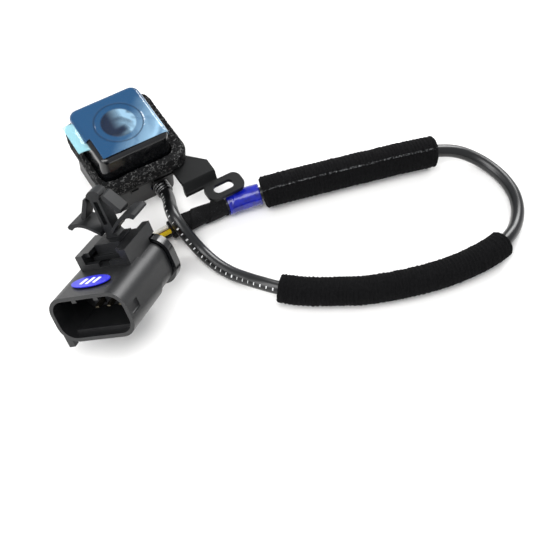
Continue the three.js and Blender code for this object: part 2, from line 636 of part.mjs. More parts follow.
add(head, 'camera_cable', swept(route, circle(CABLE_RADIUS, 10), CABLE_STEPS), 'cable');
add(head, 'lower_sleeve', wrapping(LOWER_SLEEVE_SPAN, LOWER_SLEEVE_RADIUS, 13), 'fleece');
add(head, 'upper_sleeve', wrapping(UPPER_SLEEVE_SPAN, UPPER_SLEEVE_RADIUS, 10), 'fleece');
add(head, 'blue_tape', wrapping(BLUE_TAPE_SPAN, wrapBore + BLUE_TAPE_BUILD, 3), 'blueTape');
add(head, 'loom_tape', wrapping(LOOM_SPAN, wrapBore + LOOM_BUILD, 6), 'fleece');

// Rubber strain relief: a flange inside the wall, a neck through it and ribs outside.
function strainRelief() {
  const bore = CABLE_RADIUS + GAP;
  const inside = -SHELL_WALL - GAP;
  const flange = reliefRadius + RELIEF_FLANGE;
  const outline = [[bore, inside - 1], [flange, inside - 1], [flange, inside]];
  outline.push([reliefRadius, inside]);
  const ribs = 3;
  for (let i = 0; i < ribs; i += 1) {
    const start = GAP + 0.6 + i * (RELIEF_LENGTH - 1) / ribs;
    const width = (RELIEF_LENGTH - 1) / ribs;
    outline.push([reliefRadius, start], [reliefRadius - 0.25, start + width * 0.6]);
  }
  outline.push([reliefRadius - 0.2, RELIEF_LENGTH], [bore, RELIEF_LENGTH]);
  const geometry = turned(outline, 14);
  geometry.rotateX(Math.PI / 2);
  geometry.translate(CABLE_EXIT_X, -bodyHalf, CABLE_EXIT_HEIGHT);
  return geometry;
}

add(head, 'strain_relief', strainRelief(), 'rubber');

// ---------- connector ----------

const mouthHalfX = MOUTH_WIDTH / 2;
const mouthHalfZ = MOUTH_HEIGHT / 2;
const rearEnd = SHROUD_LENGTH + REAR_LENGTH;
const capStart = rearEnd + GAP;
const capEnd = capStart + CAP_LENGTH;
const bulkhead = MOUTH_DEPTH;
const columns = [-1, 0, 1];
const rows = [-0.5, 0.5];

// A block of the connector's section between two places on its axis.
function section(halfX, halfZ, radius, from, to, curveSegments = 6) {
  return alongY(roundedRect(halfX, halfZ, radius), from, to, curveSegments);
}

function terminalHoles(from, to) {
  const half = TERMINAL_WIDTH / 2 + GAP;
  return columns.flatMap((column) => rows.map((row) => box(
    column * TERMINAL_PITCH - half, column * TERMINAL_PITCH + half, from, to,
    row * TERMINAL_PITCH - half, row * TERMINAL_PITCH + half)));
}

function connectorHousing() {
  const shroud = section(mouthHalfX, mouthHalfZ, MOUTH_RADIUS, 0, SHROUD_LENGTH);
  const rear = section(mouthHalfX - REAR_SETBACK, mouthHalfZ - REAR_SETBACK, MOUTH_RADIUS - REAR_SETBACK,
    SHROUD_LENGTH - 1, rearEnd);
  const mouth = section(mouthHalfX - SHROUD_WALL, mouthHalfZ - SHROUD_WALL, MOUTH_RADIUS - SHROUD_WALL,
    -1, bulkhead);
  const sealRoom = section(mouthHalfX - REAR_SETBACK - 1.6, mouthHalfZ - REAR_SETBACK - 1.6, 3.6,
    bulkhead + 4, rearEnd + 1);
  const railTop = mouthHalfZ + RAIL_HEIGHT;
  const railEnd = RAIL_START + RAIL_LENGTH;
  const rails = [-1, 1].map((side) => {
    const inside = RAIL_SHIFT + side * RAIL_HALF;
    const outside = RAIL_SHIFT + side * (RAIL_HALF + RAIL_THICKNESS);
    const lip = RAIL_SHIFT + side * (RAIL_HALF - RAIL_LIP);
    return join(
      box(Math.min(inside, outside), Math.max(inside, outside), RAIL_START, railEnd, mouthHalfZ - 3.4, railTop),
      box(Math.min(lip, outside), Math.max(lip, outside), RAIL_START + SILL_DEPTH, railEnd,
        railTop - RAIL_LIP_HEIGHT, railTop));
  });
  const tail = box(
    RAIL_SHIFT + RAIL_HALF, RAIL_SHIFT + RAIL_HALF + RAIL_THICKNESS, railEnd - 1, railEnd + RAIL_TAIL,
    mouthHalfZ + CAP_PROUD + GAP, railTop);
  const sill = box(RAIL_SHIFT - RAIL_HALF - 1, RAIL_SHIFT + RAIL_HALF + 1, RAIL_START, RAIL_START + SILL_DEPTH,
    mouthHalfZ - 1, mouthHalfZ + 1.8);
  const notch = box(RAIL_SHIFT - 2, RAIL_SHIFT + 2, RAIL_START - 1, RAIL_START + SILL_DEPTH + 1,
    mouthHalfZ + 0.4, mouthHalfZ + 3);
  const keys = [-4.6, 3.4].map((x) => box(x, x + KEY_WIDTH, 0.6, bulkhead + 0.5, mouthHalfZ - SHROUD_WALL - 1.3,
    mouthHalfZ - SHROUD_WALL + 0.3));
  const ledge = box(-mouthHalfX + 4, mouthHalfX - 4, 3, bulkhead + 0.5, -mouthHalfZ + SHROUD_WALL - 0.3,
    -mouthHalfZ + SHROUD_WALL + 1.1);
  const footAt = -mouthHalfX + FOOT_INSET;
  const foot = alongX(outlineOf([
    [0.3, FOOT_ROOT], [0.3, -FOOT_HEIGHT], [2.2, -FOOT_HEIGHT], [7, FOOT_ROOT - 1], [7, FOOT_ROOT]
  ]), footAt - 1.1, footAt + 1.1);
  foot.translate(0, 0, -mouthHalfZ);
  const hollow = cut(
    join(shroud, rear, ...rails, tail, sill, foot), mouth, sealRoom, notch, ...terminalHoles(bulkhead - 1, bulkhead + 5));
  return join(hollow, ...keys, ledge);
}

add(connector, 'connector_housing', connectorHousing(), 'satinBlack');

// Rear cap: a collar that holds the wire seal in.
add(connector, 'rear_cap', alongY(framed(
  roundedRect(mouthHalfX + CAP_PROUD, mouthHalfZ + CAP_PROUD, MOUTH_RADIUS + CAP_PROUD),
  roundedRect(mouthHalfX - 5.5, mouthHalfZ - 3.6, 3)), capStart, capEnd, 6), 'glossBlack');

// Wire seal with a bore for each wire.
const sealStart = bulkhead + 4 + GAP;
const wirePlaces = [[-1, 0.5], [0, 0.5], [-1, -0.5], [0, -0.5]];
const sealPlate = roundedRect(
  mouthHalfX - REAR_SETBACK - 1.6 - GAP, mouthHalfZ - REAR_SETBACK - 1.6 - GAP, 3.3);
columns.forEach((column) => rows.forEach((row) => {
  const hole = new THREE.Path();
  hole.absarc(column * TERMINAL_PITCH, row * TERMINAL_PITCH, TERMINAL_WIDTH / 2 * 1.42 + GAP, 0, 2 * Math.PI, true);
  sealPlate.holes.push(hole);
}));
add(connector, 'wire_seal', alongY(sealPlate, sealStart, rearEnd - GAP), 'orangeSeal');

// Male terminals, in two rows.
columns.forEach((column, c) => rows.forEach((row, r) => {
  const half = TERMINAL_WIDTH / 2;
  const blade = outlineOf([
    [TERMINAL_START, -half * 0.4], [TERMINAL_START + 1.2, -half], [rearEnd - 1.5, -half], [rearEnd - 1.5, half],
    [TERMINAL_START + 1.2, half], [TERMINAL_START, half * 0.4]
  ]);
  const pin = alongX(blade, column * TERMINAL_PITCH - half, column * TERMINAL_PITCH + half);
  pin.translate(0, 0, row * TERMINAL_PITCH);
  add(connector, `terminal_${c * rows.length + r + 1}`, pin, 'gold');
}));

// Terminal retainer: a plate in front of the bulkhead that slides back to lock the terminals.
const retainerFront = bulkhead - GAP - RETAINER_THICKNESS;
add(connector, 'terminal_retainer', cut(
  alongY(roundedRect(mouthHalfX - 6, TERMINAL_PITCH / 2 + 1.6, 1.2), retainerFront, bulkhead - GAP, 2),
  ...terminalHoles(retainerFront - 1, bulkhead)), 'white');

// Oval identification mark on the top, with no lettering.
const oval = new THREE.Shape();
oval.absellipse(0, 7.2, MARK_LENGTH / 2, MARK_WIDTH / 2, 0, 2 * Math.PI);
add(connector, 'mark_label', plate(oval, mouthHalfZ + GAP, mouthHalfZ + GAP + MARK_THICKNESS, 16), 'blueTape');

// ---------- push-in clip ----------

const clipStart = RAIL_START + SILL_DEPTH + CLIP_ROOM;
const clipEnd = clipStart + CLIP_LENGTH;
const stemMiddle = clipEnd - STEM_DEPTH / 2;
const plateHalf = RAIL_HALF - GAP;
const neckHalf = RAIL_HALF - RAIL_LIP - GAP;
const plateBottom = mouthHalfZ + GAP;
const plateTop = Math.min(plateBottom + CLIP_PLATE, mouthHalfZ + RAIL_HEIGHT - RAIL_LIP_HEIGHT - GAP);
const neckTop = mouthHalfZ + RAIL_HEIGHT + 0.4;
const clipTip = mouthHalfZ + STEM_HEIGHT;
const stemHalf = STEM_WIDTH / 2;
const wingRoot = mouthHalfZ + WING_ROOT;
const barbRoot = clipTip - 2.2;

// Base plate under the rails, neck, stem and rounded tip, in one moulding.
function clipStem() {
  const base = box(-plateHalf, plateHalf, clipStart, clipEnd, plateBottom, plateTop);
  const neck = box(-neckHalf, neckHalf, clipStart + 1, clipEnd, plateTop - 0.5, neckTop);
  const tipHalf = stemHalf + 0.9;
  const post = outlineOf([
    [-stemHalf - 1, neckTop - 0.5], [stemHalf + 1, neckTop - 0.5], [stemHalf, neckTop + 1],
    [stemHalf, barbRoot - 0.6], [tipHalf, barbRoot + 0.4], [tipHalf * 0.85, clipTip - 0.9],
    [tipHalf * 0.45, clipTip - 0.2], [0, clipTip], [-tipHalf * 0.45, clipTip - 0.2],
    [-tipHalf * 0.85, clipTip - 0.9], [-tipHalf, barbRoot + 0.4], [-stemHalf, barbRoot - 0.6],
    [-stemHalf, neckTop + 1]
  ]);
  const window = box(-stemHalf * 0.4, stemHalf * 0.4, stemMiddle - STEM_DEPTH, stemMiddle + STEM_DEPTH,
    neckTop + 4.5, barbRoot - 1.5);
  const solid = join(base, neck, alongY(post, stemMiddle - STEM_DEPTH / 2, stemMiddle + STEM_DEPTH / 2));
  return cut(solid, window).translate(RAIL_SHIFT, 0, 0);
}

add(connector, 'clip_base', clipStem(), 'satinBlack');

// Springy barbs that slope down from the tip, and wings that press on the panel.
[['left', -1], ['right', 1]].forEach(([name, side]) => {
  const spread = THREE.MathUtils.degToRad(BARB_SPREAD);
  const rootX = stemHalf + 0.9 + GAP;
  const endX = rootX + BARB_LENGTH * Math.sin(spread);
  const endZ = barbRoot - BARB_LENGTH * Math.cos(spread);
  const barb = outlineOf([
    [rootX, barbRoot + 0.3], [rootX + BARB_THICKNESS * 0.8, barbRoot + 0.1],
    [endX + BARB_THICKNESS * 0.7, endZ + 1], [endX + BARB_THICKNESS * 0.5, endZ],
    [endX - BARB_THICKNESS * 0.5, endZ + 0.2], [rootX, barbRoot - BARB_THICKNESS]
  ].map(([x, z]) => [side * x, z]));
  const strip = alongY(barb, stemMiddle - BARB_WIDTH / 2, stemMiddle + BARB_WIDTH / 2);
  add(connector, `clip_barb_${name}`, strip.translate(RAIL_SHIFT, 0, 0), 'satinBlack');

  const start = stemHalf + GAP;
  const upper = [];
  const lower = [];
  for (let i = 0; i <= WING_STEPS; i += 1) {
    const t = i / WING_STEPS;
    const x = start + (WING_REACH - start) * t;
    const z = wingRoot + WING_RISE * Math.sin(t * Math.PI * 0.62) / Math.sin(Math.PI * 0.62);
    const half = WING_THICKNESS / 2 + (i === WING_STEPS ? WING_BEAD - WING_THICKNESS / 2 : 0);
    upper.push([side * x, z + half]);
    lower.unshift([side * x, z - half]);
  }
  const endZs = wingRoot + WING_RISE;
  const bead = [[side * (WING_REACH + WING_BEAD), endZs + 0.4], [side * (WING_REACH + WING_BEAD), endZs - 0.4]];
  const vane = alongY(outlineOf([...upper, ...bead, ...lower]), stemMiddle - WING_WIDTH / 2, stemMiddle + WING_WIDTH / 2);
  add(connector, `clip_wing_${name}`, vane.translate(RAIL_SHIFT, 0, 0), 'satinBlack');
});

// ---------- places ----------

// The connector leans on the surface: it is turned, and then lowered until it touches.
connector.rotation.set(
  THREE.MathUtils.degToRad(CONNECTOR_TIP), THREE.MathUtils.degToRad(CONNECTOR_LEAN),
  THREE.MathUtils.degToRad(CONNECTOR_TURN), 'ZXY');
connector.position.set(MOUTH_AT[0], MOUTH_AT[1] - bodyHalf, 0);
connector.updateMatrixWorld(true);
connector.position.z = -new THREE.Box3().setFromObject(connector, true).min.z;
connector.updateMatrixWorld(true);

// Insulated wires from the end of the cable to the back of the connector.
const cableEnd = route.getPoint(1);
const cableHeading = route.getTangent(1);
const across = new THREE.Vector3(0, 0, 1).cross(cableHeading).normalize();
const upward = new THREE.Vector3().crossVectors(cableHeading, across);
const connectorBack = new THREE.Vector3(0, 1, 0).transformDirection(connector.matrixWorld);
['white', 'yellow', 'red', 'black'].forEach((colour, i) => {
  const side = i % 2 - 0.5;
  const level = 0.5 - Math.floor(i / 2);
  const start = cableEnd.clone().addScaledVector(cableHeading, GAP);
  start.addScaledVector(across, side * WIRE_PITCH).addScaledVector(upward, level * WIRE_PITCH);
  const [column, row] = wirePlaces[i];
  const end = new THREE.Vector3(column * TERMINAL_PITCH, rearEnd, row * TERMINAL_PITCH);
  end.applyMatrix4(connector.matrixWorld);
  const lead = start.distanceTo(end) / 3;
  const curve = new THREE.CubicBezierCurve3(
    start, start.clone().addScaledVector(cableHeading, lead),
    end.clone().addScaledVector(connectorBack, CAP_LENGTH + lead * 0.6), end);
  add(head, `wire_${colour}`, swept(curve, circle(WIRE_RADIUS, 8), 12),
    { white: 'white', yellow: 'yellow', red: 'red', black: 'blackWire' }[colour]);
});

// The origin is below the middle of the camera head with its foam and bracket.
const left = Math.min(FOAM_SHIFT - foamHalf, -faceHalf - GAP - FILM_THICKNESS - FILM_TAB_LENGTH);
const back = earBack - EAR_WIDTH;
model.add(head, connector);
model.position.set(-(left + EAR_RIGHT) / 2, -(back + foamHalf) / 2, 0);

export default model;
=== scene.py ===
import math

import bmesh
import bpy
from mathutils import Matrix, Vector, noise


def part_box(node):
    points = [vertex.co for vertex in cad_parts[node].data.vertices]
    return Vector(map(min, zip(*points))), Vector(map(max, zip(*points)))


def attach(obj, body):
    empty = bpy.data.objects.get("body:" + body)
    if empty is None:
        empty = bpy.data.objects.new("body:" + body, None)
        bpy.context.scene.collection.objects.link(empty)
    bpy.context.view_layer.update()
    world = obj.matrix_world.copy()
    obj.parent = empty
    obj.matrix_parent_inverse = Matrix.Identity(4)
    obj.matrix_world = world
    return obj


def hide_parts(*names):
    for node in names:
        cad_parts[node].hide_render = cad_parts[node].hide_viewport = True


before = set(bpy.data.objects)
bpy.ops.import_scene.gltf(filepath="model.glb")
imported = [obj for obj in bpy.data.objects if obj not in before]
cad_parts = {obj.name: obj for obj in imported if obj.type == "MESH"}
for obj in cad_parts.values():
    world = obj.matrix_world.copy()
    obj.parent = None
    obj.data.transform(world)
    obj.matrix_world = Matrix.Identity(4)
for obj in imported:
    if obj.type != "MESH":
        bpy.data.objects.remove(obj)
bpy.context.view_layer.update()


# ---------------------------------------------------------------- boards and the parts soldered to them
# Two glass-fibre boards hold the power supply and the image sensor, with a tinned steel shield between them.
# They are sealed in the head and keep their shapes as designed.

def colour(code):
    """An sRGB hex value as a linear colour with full alpha."""
    parts = [int(code[i:i + 2], 16) / 255 for i in (1, 3, 5)]
    return [c / 12.92 if c <= 0.04045 else ((c + 0.055) / 1.055) ** 2.4 for c in parts] + [1]


def add_node(tree, kind, values=None, links=None, stops=None, **settings):
    """Adds a shader node: its settings, its sockets' values, its links, and the stops of a ramp."""
    node = tree.nodes.new("ShaderNode" + kind)
    for name, value in settings.items():
        setattr(node, name, value)
    for socket, value in (values or {}).items():
        node.inputs[socket].default_value = value
    for socket, source in (links or {}).items():
        tree.links.new(source, node.inputs[socket])
    for i, (place, code) in enumerate(stops or []):
        ramp = node.color_ramp.elements
        stop = ramp[i] if i < 2 else ramp.new(place)
        stop.position = place
        stop.color = colour(code)
    return node


def new_material(name, base, roughness, values=None):
    """A material of one Principled shader. Returns the material, its node tree and that shader."""
    material = bpy.data.materials.new(name)
    material.use_nodes = True
    tree = material.node_tree
    tree.nodes.clear()
    output = add_node(tree, "OutputMaterial")
    sockets = {"Base Color": colour(base), "Roughness": roughness}
    sockets.update(values or {})
    shader = add_node(tree, "BsdfPrincipled", sockets)
    tree.links.new(shader.outputs[0], output.inputs["Surface"])
    return material, tree, shader


def per_mm(size):
    """The scale of a pattern in Object coordinates whose features are this many millimetres across."""
    return 1000 / size


def grain(tree, shader, size, depth, detail=2.0):
    """A fine surface grain, its size and depth in millimetres. Returns its coordinates and its pattern."""
    place = add_node(tree, "TexCoord").outputs["Object"]
    pattern = add_node(tree, "TexNoise", {"Scale": per_mm(size), "Detail": detail}, {"Vector": place})
    bump = add_node(tree, "Bump", {"Strength": 1, "Distance": depth / 1000}, {"Height": pattern.outputs[0]})
    tree.links.new(bump.outputs[0], shader.inputs["Normal"])
    return place, pattern.outputs[0]


def dress(material, slot, *nodes):
    """Gives CAD nodes a material; the slot argument is not used."""
    for name in nodes:
        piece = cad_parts[name]
        piece.data.materials.clear()
        piece.data.materials.append(material)


def etched_board():
    """Solder mask over etched copper: a dark green lacquer with paler tracks under it."""
    material, tree, shader = new_material("solder_mask_green", "#12402A", 0.35, {"Coat Weight": 0.4})
    place = add_node(tree, "TexCoord").outputs["Object"]
    tracks = add_node(tree, "TexBrick", {"Scale": per_mm(3), "Mortar Size": 0.09,
                                         "Color1": colour("#12402A"), "Color2": colour("#0F3723"),
                                         "Mortar": colour("#1F6A40")}, {"Vector": place})
    tree.links.new(tracks.outputs["Color"], shader.inputs["Base Color"])
    return material


def tinned_steel():
    """Steel sheet with a hot-dipped tin coat: bright, with faint drawing marks 0.2 mm apart."""
    material, tree, shader = new_material("tinned_steel_drawn", "#B9BCC0", 0.28, {"Metallic": 1})
    grain(tree, shader, 0.2, 0.004)
    return material


def matt_nylon(name, base):
    """Glass-filled nylon: a matt skin with a 0.3 mm flow grain."""
    material, tree, shader = new_material(name, base, 0.5)
    grain(tree, shader, 0.3, 0.01)
    return material


def coated_glass(name, base):
    """Optical glass with a dark coating: almost a mirror, with a faint colour of its own."""
    material, tree, shader = new_material(
        name, base, 0.04, {"IOR": 1.52, "Coat Weight": 1, "Coat Roughness": 0.03})
    place = add_node(tree, "TexCoord").outputs["Object"]
    cloud = add_node(tree, "TexNoise", {"Scale": per_mm(6)}, {"Vector": place})
    tint = add_node(tree, "ValToRGB", links={0: cloud.outputs[0]}, stops=[(0.35, base), (0.7, "#1B2440")])
    tree.links.new(tint.outputs[0], shader.inputs["Base Color"])
    return material


dress(etched_board(), "circuit_board", "power_board", "sensor_board")
dress(tinned_steel(), "tinned_steel", "shield_can")
dress(matt_nylon("white_nylon_moulded", "#E9E8E2"), "white_nylon", "board_socket")
dress(coated_glass("sensor_glass_coated", "#10131C"), "sensor_glass", "image_sensor")
dress(coated_glass("filter_glass_coated", "#3C6070"), "filter_glass", "ir_filter")


# ---------------------------------------------------------------- rear shell
# The rear half of the housing, injection moulded in ABS with a spark-eroded satin skin. It carries two ramped
# hooks for the bracket, a latch lug and the cable's exit.

SHARP = math.radians(32)          # edges that turn more than this are crisp
FLAT = math.radians(0.8)          # faces that turn less than this are one face
WELD = 2e-6                       # corners closer than this are one corner


def to_bmesh(*nodes):
    """The triangles of CAD nodes, welded, with their flat faces joined."""
    bm = bmesh.new()
    for node in nodes:
        bm.from_mesh(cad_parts[node].data)
    bmesh.ops.remove_doubles(bm, verts=bm.verts, dist=WELD)
    bmesh.ops.dissolve_limit(bm, angle_limit=FLAT, verts=bm.verts, edges=bm.edges)
    return bm


def round_edges(bm, width, segments=2, turn=SHARP):
    """Rounds the edges that turn more than a given angle; width in millimetres."""
    edges = [e for e in bm.edges if len(e.link_faces) == 2 and e.calc_face_angle() > turn]
    bmesh.ops.bevel(bm, geom=edges, offset=width / 1000, offset_type="OFFSET", segments=segments,
                    affect="EDGES", profile=0.5, material=-1, clamp_overlap=True)


def softened(node, width, segments=2, turn=SHARP):
    """A CAD node with its crisp edges rounded; width in millimetres."""
    bm = to_bmesh(node)
    round_edges(bm, width, segments, turn)
    return bm


def add_piece(name, bm, material, body="root", replaces=()):
    """Makes a piece from a bmesh, with smooth faces between its crisp edges, riding on a body."""
    for face in bm.faces:
        face.smooth = True
    for edge in bm.edges:
        edge.smooth = len(edge.link_faces) != 2 or edge.calc_face_angle() < SHARP
    mesh = bpy.data.meshes.new(name)
    bm.to_mesh(mesh)
    bm.free()
    mesh.materials.append(material)
    piece = bpy.data.objects.new(name, mesh)
    bpy.context.scene.collection.objects.link(piece)
    normals = piece.modifiers.new("even_shading", "WEIGHTED_NORMAL")
    normals.keep_sharp = True
    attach(piece, body)
    if replaces:
        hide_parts(*replaces)
    return piece


def satin_abs():
    """ABS from a spark-eroded mould: black with a soft sheen and a 0.25 mm grain."""
    material, tree, shader = new_material("satin_abs_moulded", "#070708", 0.45)
    place, _ = grain(tree, shader, 0.25, 0.012)
    wear = add_node(tree, "TexNoise", {"Scale": per_mm(9), "Detail": 4}, {"Vector": place})
    sheen = add_node(tree, "MapRange", {"To Min": 0.34, "To Max": 0.52}, {"Value": wear.outputs[0]})
    tree.links.new(sheen.outputs[0], shader.inputs["Roughness"])
    return material


satin = satin_abs()
add_piece("rear_shell", softened("rear_housing", 0.25), satin, replaces=["rear_housing"])
dress(satin, "satin_black_abs", "lens_holder", "lens_spacer")


# ---------------------------------------------------------------- seals
# Moulded rubber: a flat gasket in the joint of the housing, a ring under the lens, and the pin header's body.
# They sit squeezed between hard parts, out of sight, so they keep their shapes as designed.

def moulded_rubber():
    """Black EPDM rubber: dull, with a slight bloom that greys it in patches 2 mm across."""
    material, tree, shader = new_material("epdm_rubber_moulded", "#151515", 0.62)
    place, _ = grain(tree, shader, 0.3, 0.01)
    bloom = add_node(tree, "TexNoise", {"Scale": per_mm(2), "Detail": 3}, {"Vector": place})
    tint = add_node(tree, "ValToRGB", links={0: bloom.outputs[0]},
                    stops=[(0.4, "#0E0E0E"), (0.75, "#1A1A19")])
    tree.links.new(tint.outputs[0], shader.inputs["Base Color"])
    return material


dress(moulded_rubber(), "black_rubber", "housing_seal", "lens_seal", "board_header")


# ---------------------------------------------------------------- front shell
# The front half of the housing: a square ABS cap with soft edges, from a polished mould. Its walls lean in a
# little towards the lens face, and the lens barrel seats in a round recess in the middle of the face.

def corners_of(*nodes):
    """The lowest and highest corner round these CAD nodes."""
    boxes = [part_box(name) for name in nodes]
    low = Vector([min(b[0][i] for b in boxes) for i in range(3)])
    high = Vector([max(b[1][i] for b in boxes) for i in range(3)])
    return low, high


shell_low, shell_high = corners_of("front_housing")
HEAD = Vector(((shell_low.x + shell_high.x) / 2, (shell_low.y + shell_high.y) / 2, 0))
TOP = shell_high.z
BODY_HALF = (shell_high.x - shell_low.x) / 2
FACE_HALF = BODY_HALF - 0.0005    # the walls lean in by this much
BODY_CORNER = 0.0028
EDGE_ROUND = 0.0014               # soft edge round the lens face
WALL = 0.0016
ROOF = 0.0032                     # thickness of the lens face
RECESS = 0.008                    # radius of the recess round the lens
RECESS_DEPTH = 0.002
LEDGE = 0.0012                    # ledge at the bottom of the recess
PAST = 0.001                      # a cutting block runs past the surface by this much


def square_block(half_low, half_high, low, high, corner):
    """A square block about the head's axis, with round upright edges; it may narrow upwards."""
    bm = bmesh.new()
    bmesh.ops.create_cube(bm, size=1, matrix=Matrix.Translation((0, 0, 0.5)))
    bmesh.ops.scale(bm, vec=(2 * half_low, 2 * half_low, high - low), verts=bm.verts)
    uprights = [e for e in bm.edges if abs((e.verts[0].co - e.verts[1].co).z) > 1e-6]
    bmesh.ops.bevel(bm, geom=uprights, offset=corner, offset_type="OFFSET", segments=8,
                    affect="EDGES", profile=0.5, material=-1)
    top = [v for v in bm.verts if v.co.z > (high - low) / 2]
    bmesh.ops.scale(bm, vec=(half_high / half_low, half_high / half_low, 1), verts=top)
    bmesh.ops.translate(bm, vec=HEAD + Vector((0, 0, low)), verts=bm.verts)
    return bm


def round_bar(radius, low, high):
    """An upright cylinder on the head's axis."""
    bm = bmesh.new()
    place = Matrix.Translation(HEAD + Vector((0, 0, (low + high) / 2)))
    bmesh.ops.create_cone(bm, cap_ends=True, segments=48, radius1=radius, radius2=radius,
                          depth=high - low, matrix=place)
    return bm


def carve(bm, *tools):
    """Cuts each tool from a bmesh and returns the result."""
    for tool in tools:
        pair = []
        for part in (bm, tool):
            mesh = bpy.data.meshes.new("carving")
            part.to_mesh(mesh)
            part.free()
            pair.append(bpy.data.objects.new("carving", mesh))
            bpy.context.scene.collection.objects.link(pair[-1])
        boolean = pair[0].modifiers.new("carve", "BOOLEAN")
        boolean.operation = "DIFFERENCE"
        boolean.solver = "EXACT"
        boolean.object = pair[1]
        bpy.context.view_layer.update()
        bm = bmesh.new()
        bm.from_mesh(pair[0].evaluated_get(bpy.context.evaluated_depsgraph_get()).data)
        for part in pair:
            bpy.data.objects.remove(part)
    return bm


def gloss_abs():
    """ABS from a polished mould: deep black, a near mirror, with a faint ripple and a little dust on it."""
    material, tree, shader = new_material("gloss_abs_polished", "#08090B", 0.12, {"IOR": 1.54})
    place = add_node(tree, "TexCoord").outputs["Object"]
    ripple = add_node(tree, "TexNoise", {"Scale": per_mm(7), "Detail": 1}, {"Vector": place})
    bump = add_node(tree, "Bump", {"Strength": 1, "Distance": 0.00006}, {"Height": ripple.outputs[0]})
    tree.links.new(bump.outputs[0], shader.inputs["Normal"])
    dust = add_node(tree, "TexVoronoi", {"Scale": per_mm(0.8)}, {"Vector": place})
    specks = add_node(tree, "ValToRGB", links={0: dust.outputs["Distance"]},
                      stops=[(0.04, "#3A3C3E"), (0.1, "#08090B")])
    tree.links.new(specks.outputs[0], shader.inputs["Base Color"])
    smears = add_node(tree, "TexNoise", {"Scale": per_mm(4), "Detail": 5}, {"Vector": place})
    sheen = add_node(tree, "MapRange", {"From Min": 0.35, "From Max": 0.75, "To Min": 0.09, "To Max": 0.24},
                     {"Value": smears.outputs[0]})
    tree.links.new(sheen.outputs[0], shader.inputs["Roughness"])
    return material


gloss = gloss_abs()
cap = square_block(BODY_HALF, FACE_HALF, shell_low.z, TOP, BODY_CORNER)
face_edges = [e for e in cap.edges if all(v.co.z > TOP - WELD for v in e.verts)]
bmesh.ops.bevel(cap, geom=face_edges, offset=EDGE_ROUND, offset_type="OFFSET", segments=6, affect="EDGES",
                profile=0.5, material=-1)
cap = carve(
    cap,
    square_block(BODY_HALF - WALL, FACE_HALF - WALL, shell_low.z - PAST, TOP - ROOF, BODY_CORNER - WALL),
    round_bar(RECESS, TOP - RECESS_DEPTH, TOP + PAST),
    round_bar(RECESS - LEDGE, TOP - ROOF - PAST, TOP + PAST))
add_piece("front_shell", cap, gloss, replaces=["front_housing"])


# ---------------------------------------------------------------- lens barrel and glass
# A black barrel with a polished rim holds three lenses; the front one is a dome of coated glass. The screws
# that hold the shells together come in from the back.

def spun(outline):
    """A turned piece about the head's axis, from a closed outline of (radius, height) in metres."""
    bm = bmesh.new()
    verts = [bm.verts.new(HEAD + Vector((r, 0, z))) for r, z in outline]
    edges = [bm.edges.new((verts[i], verts[(i + 1) % len(verts)])) for i in range(len(verts))]
    bmesh.ops.spin(bm, geom=verts + edges, cent=HEAD, axis=(0, 0, 1), angle=2 * math.pi,
                   steps=64, use_merge=True)
    bmesh.ops.remove_doubles(bm, verts=bm.verts, dist=1e-6)
    bmesh.ops.recalc_face_normals(bm, faces=bm.faces)
    return bm


barrel_low, barrel_high = corners_of("lens_barrel")
glass_low, glass_high = corners_of("front_lens")
RIM = (barrel_high.x - barrel_low.x) / 2
GLASS = (glass_high.x - glass_low.x) / 2
BORE = 0.0045
NECK = 0.0065
RIM_DEPTH = 0.0009                # the rim's underside, below the lens face
RIM_SLOPE = 0.0004                # slope on the rim's outer edge
BOWL_SLOPE = 0.0006               # slope on its inner edge
GLASS_GAP = 0.0003
GLASS_EDGE = 0.0012               # height of the glass's upright edge
bowl = GLASS + GLASS_GAP
seat = glass_low.z - GLASS_GAP
barrel = spun([
    (BORE, barrel_low.z), (NECK, barrel_low.z), (NECK, TOP - RIM_DEPTH), (RIM, TOP - RIM_DEPTH),
    (RIM, TOP - RIM_SLOPE), (RIM - RIM_SLOPE, TOP), (bowl + BOWL_SLOPE, TOP), (bowl, TOP - BOWL_SLOPE),
    (bowl, seat), (BORE, seat)])
round_edges(barrel, 0.12)
add_piece("lens_ring", barrel, gloss, replaces=["lens_barrel"])

glass = coated_glass("lens_glass_coated", "#0B0D18")
dome_steps = 10
edge_top = glass_low.z + GLASS_EDGE
dome = [(0, glass_low.z), (GLASS, glass_low.z), (GLASS, edge_top)]
for i in range(1, dome_steps + 1):
    angle = i / dome_steps * math.pi / 2
    dome.append((GLASS * math.cos(angle), edge_top + (glass_high.z - edge_top) * math.sin(angle)))
dome[-1] = (0, glass_high.z)
add_piece("front_glass", spun(dome), glass, replaces=["front_lens"])
dress(glass, "lens_glass", "lens_element_2", "lens_element_3")
dress(tinned_steel(), "plated_steel", "housing_screw_1", "housing_screw_2")


# ---------------------------------------------------------------- foam gasket
# A square ring of black open-cell foam, die-cut and pushed over the front shell. Its cells are about 0.9 mm
# across, and cut cell walls catch the light all over it.

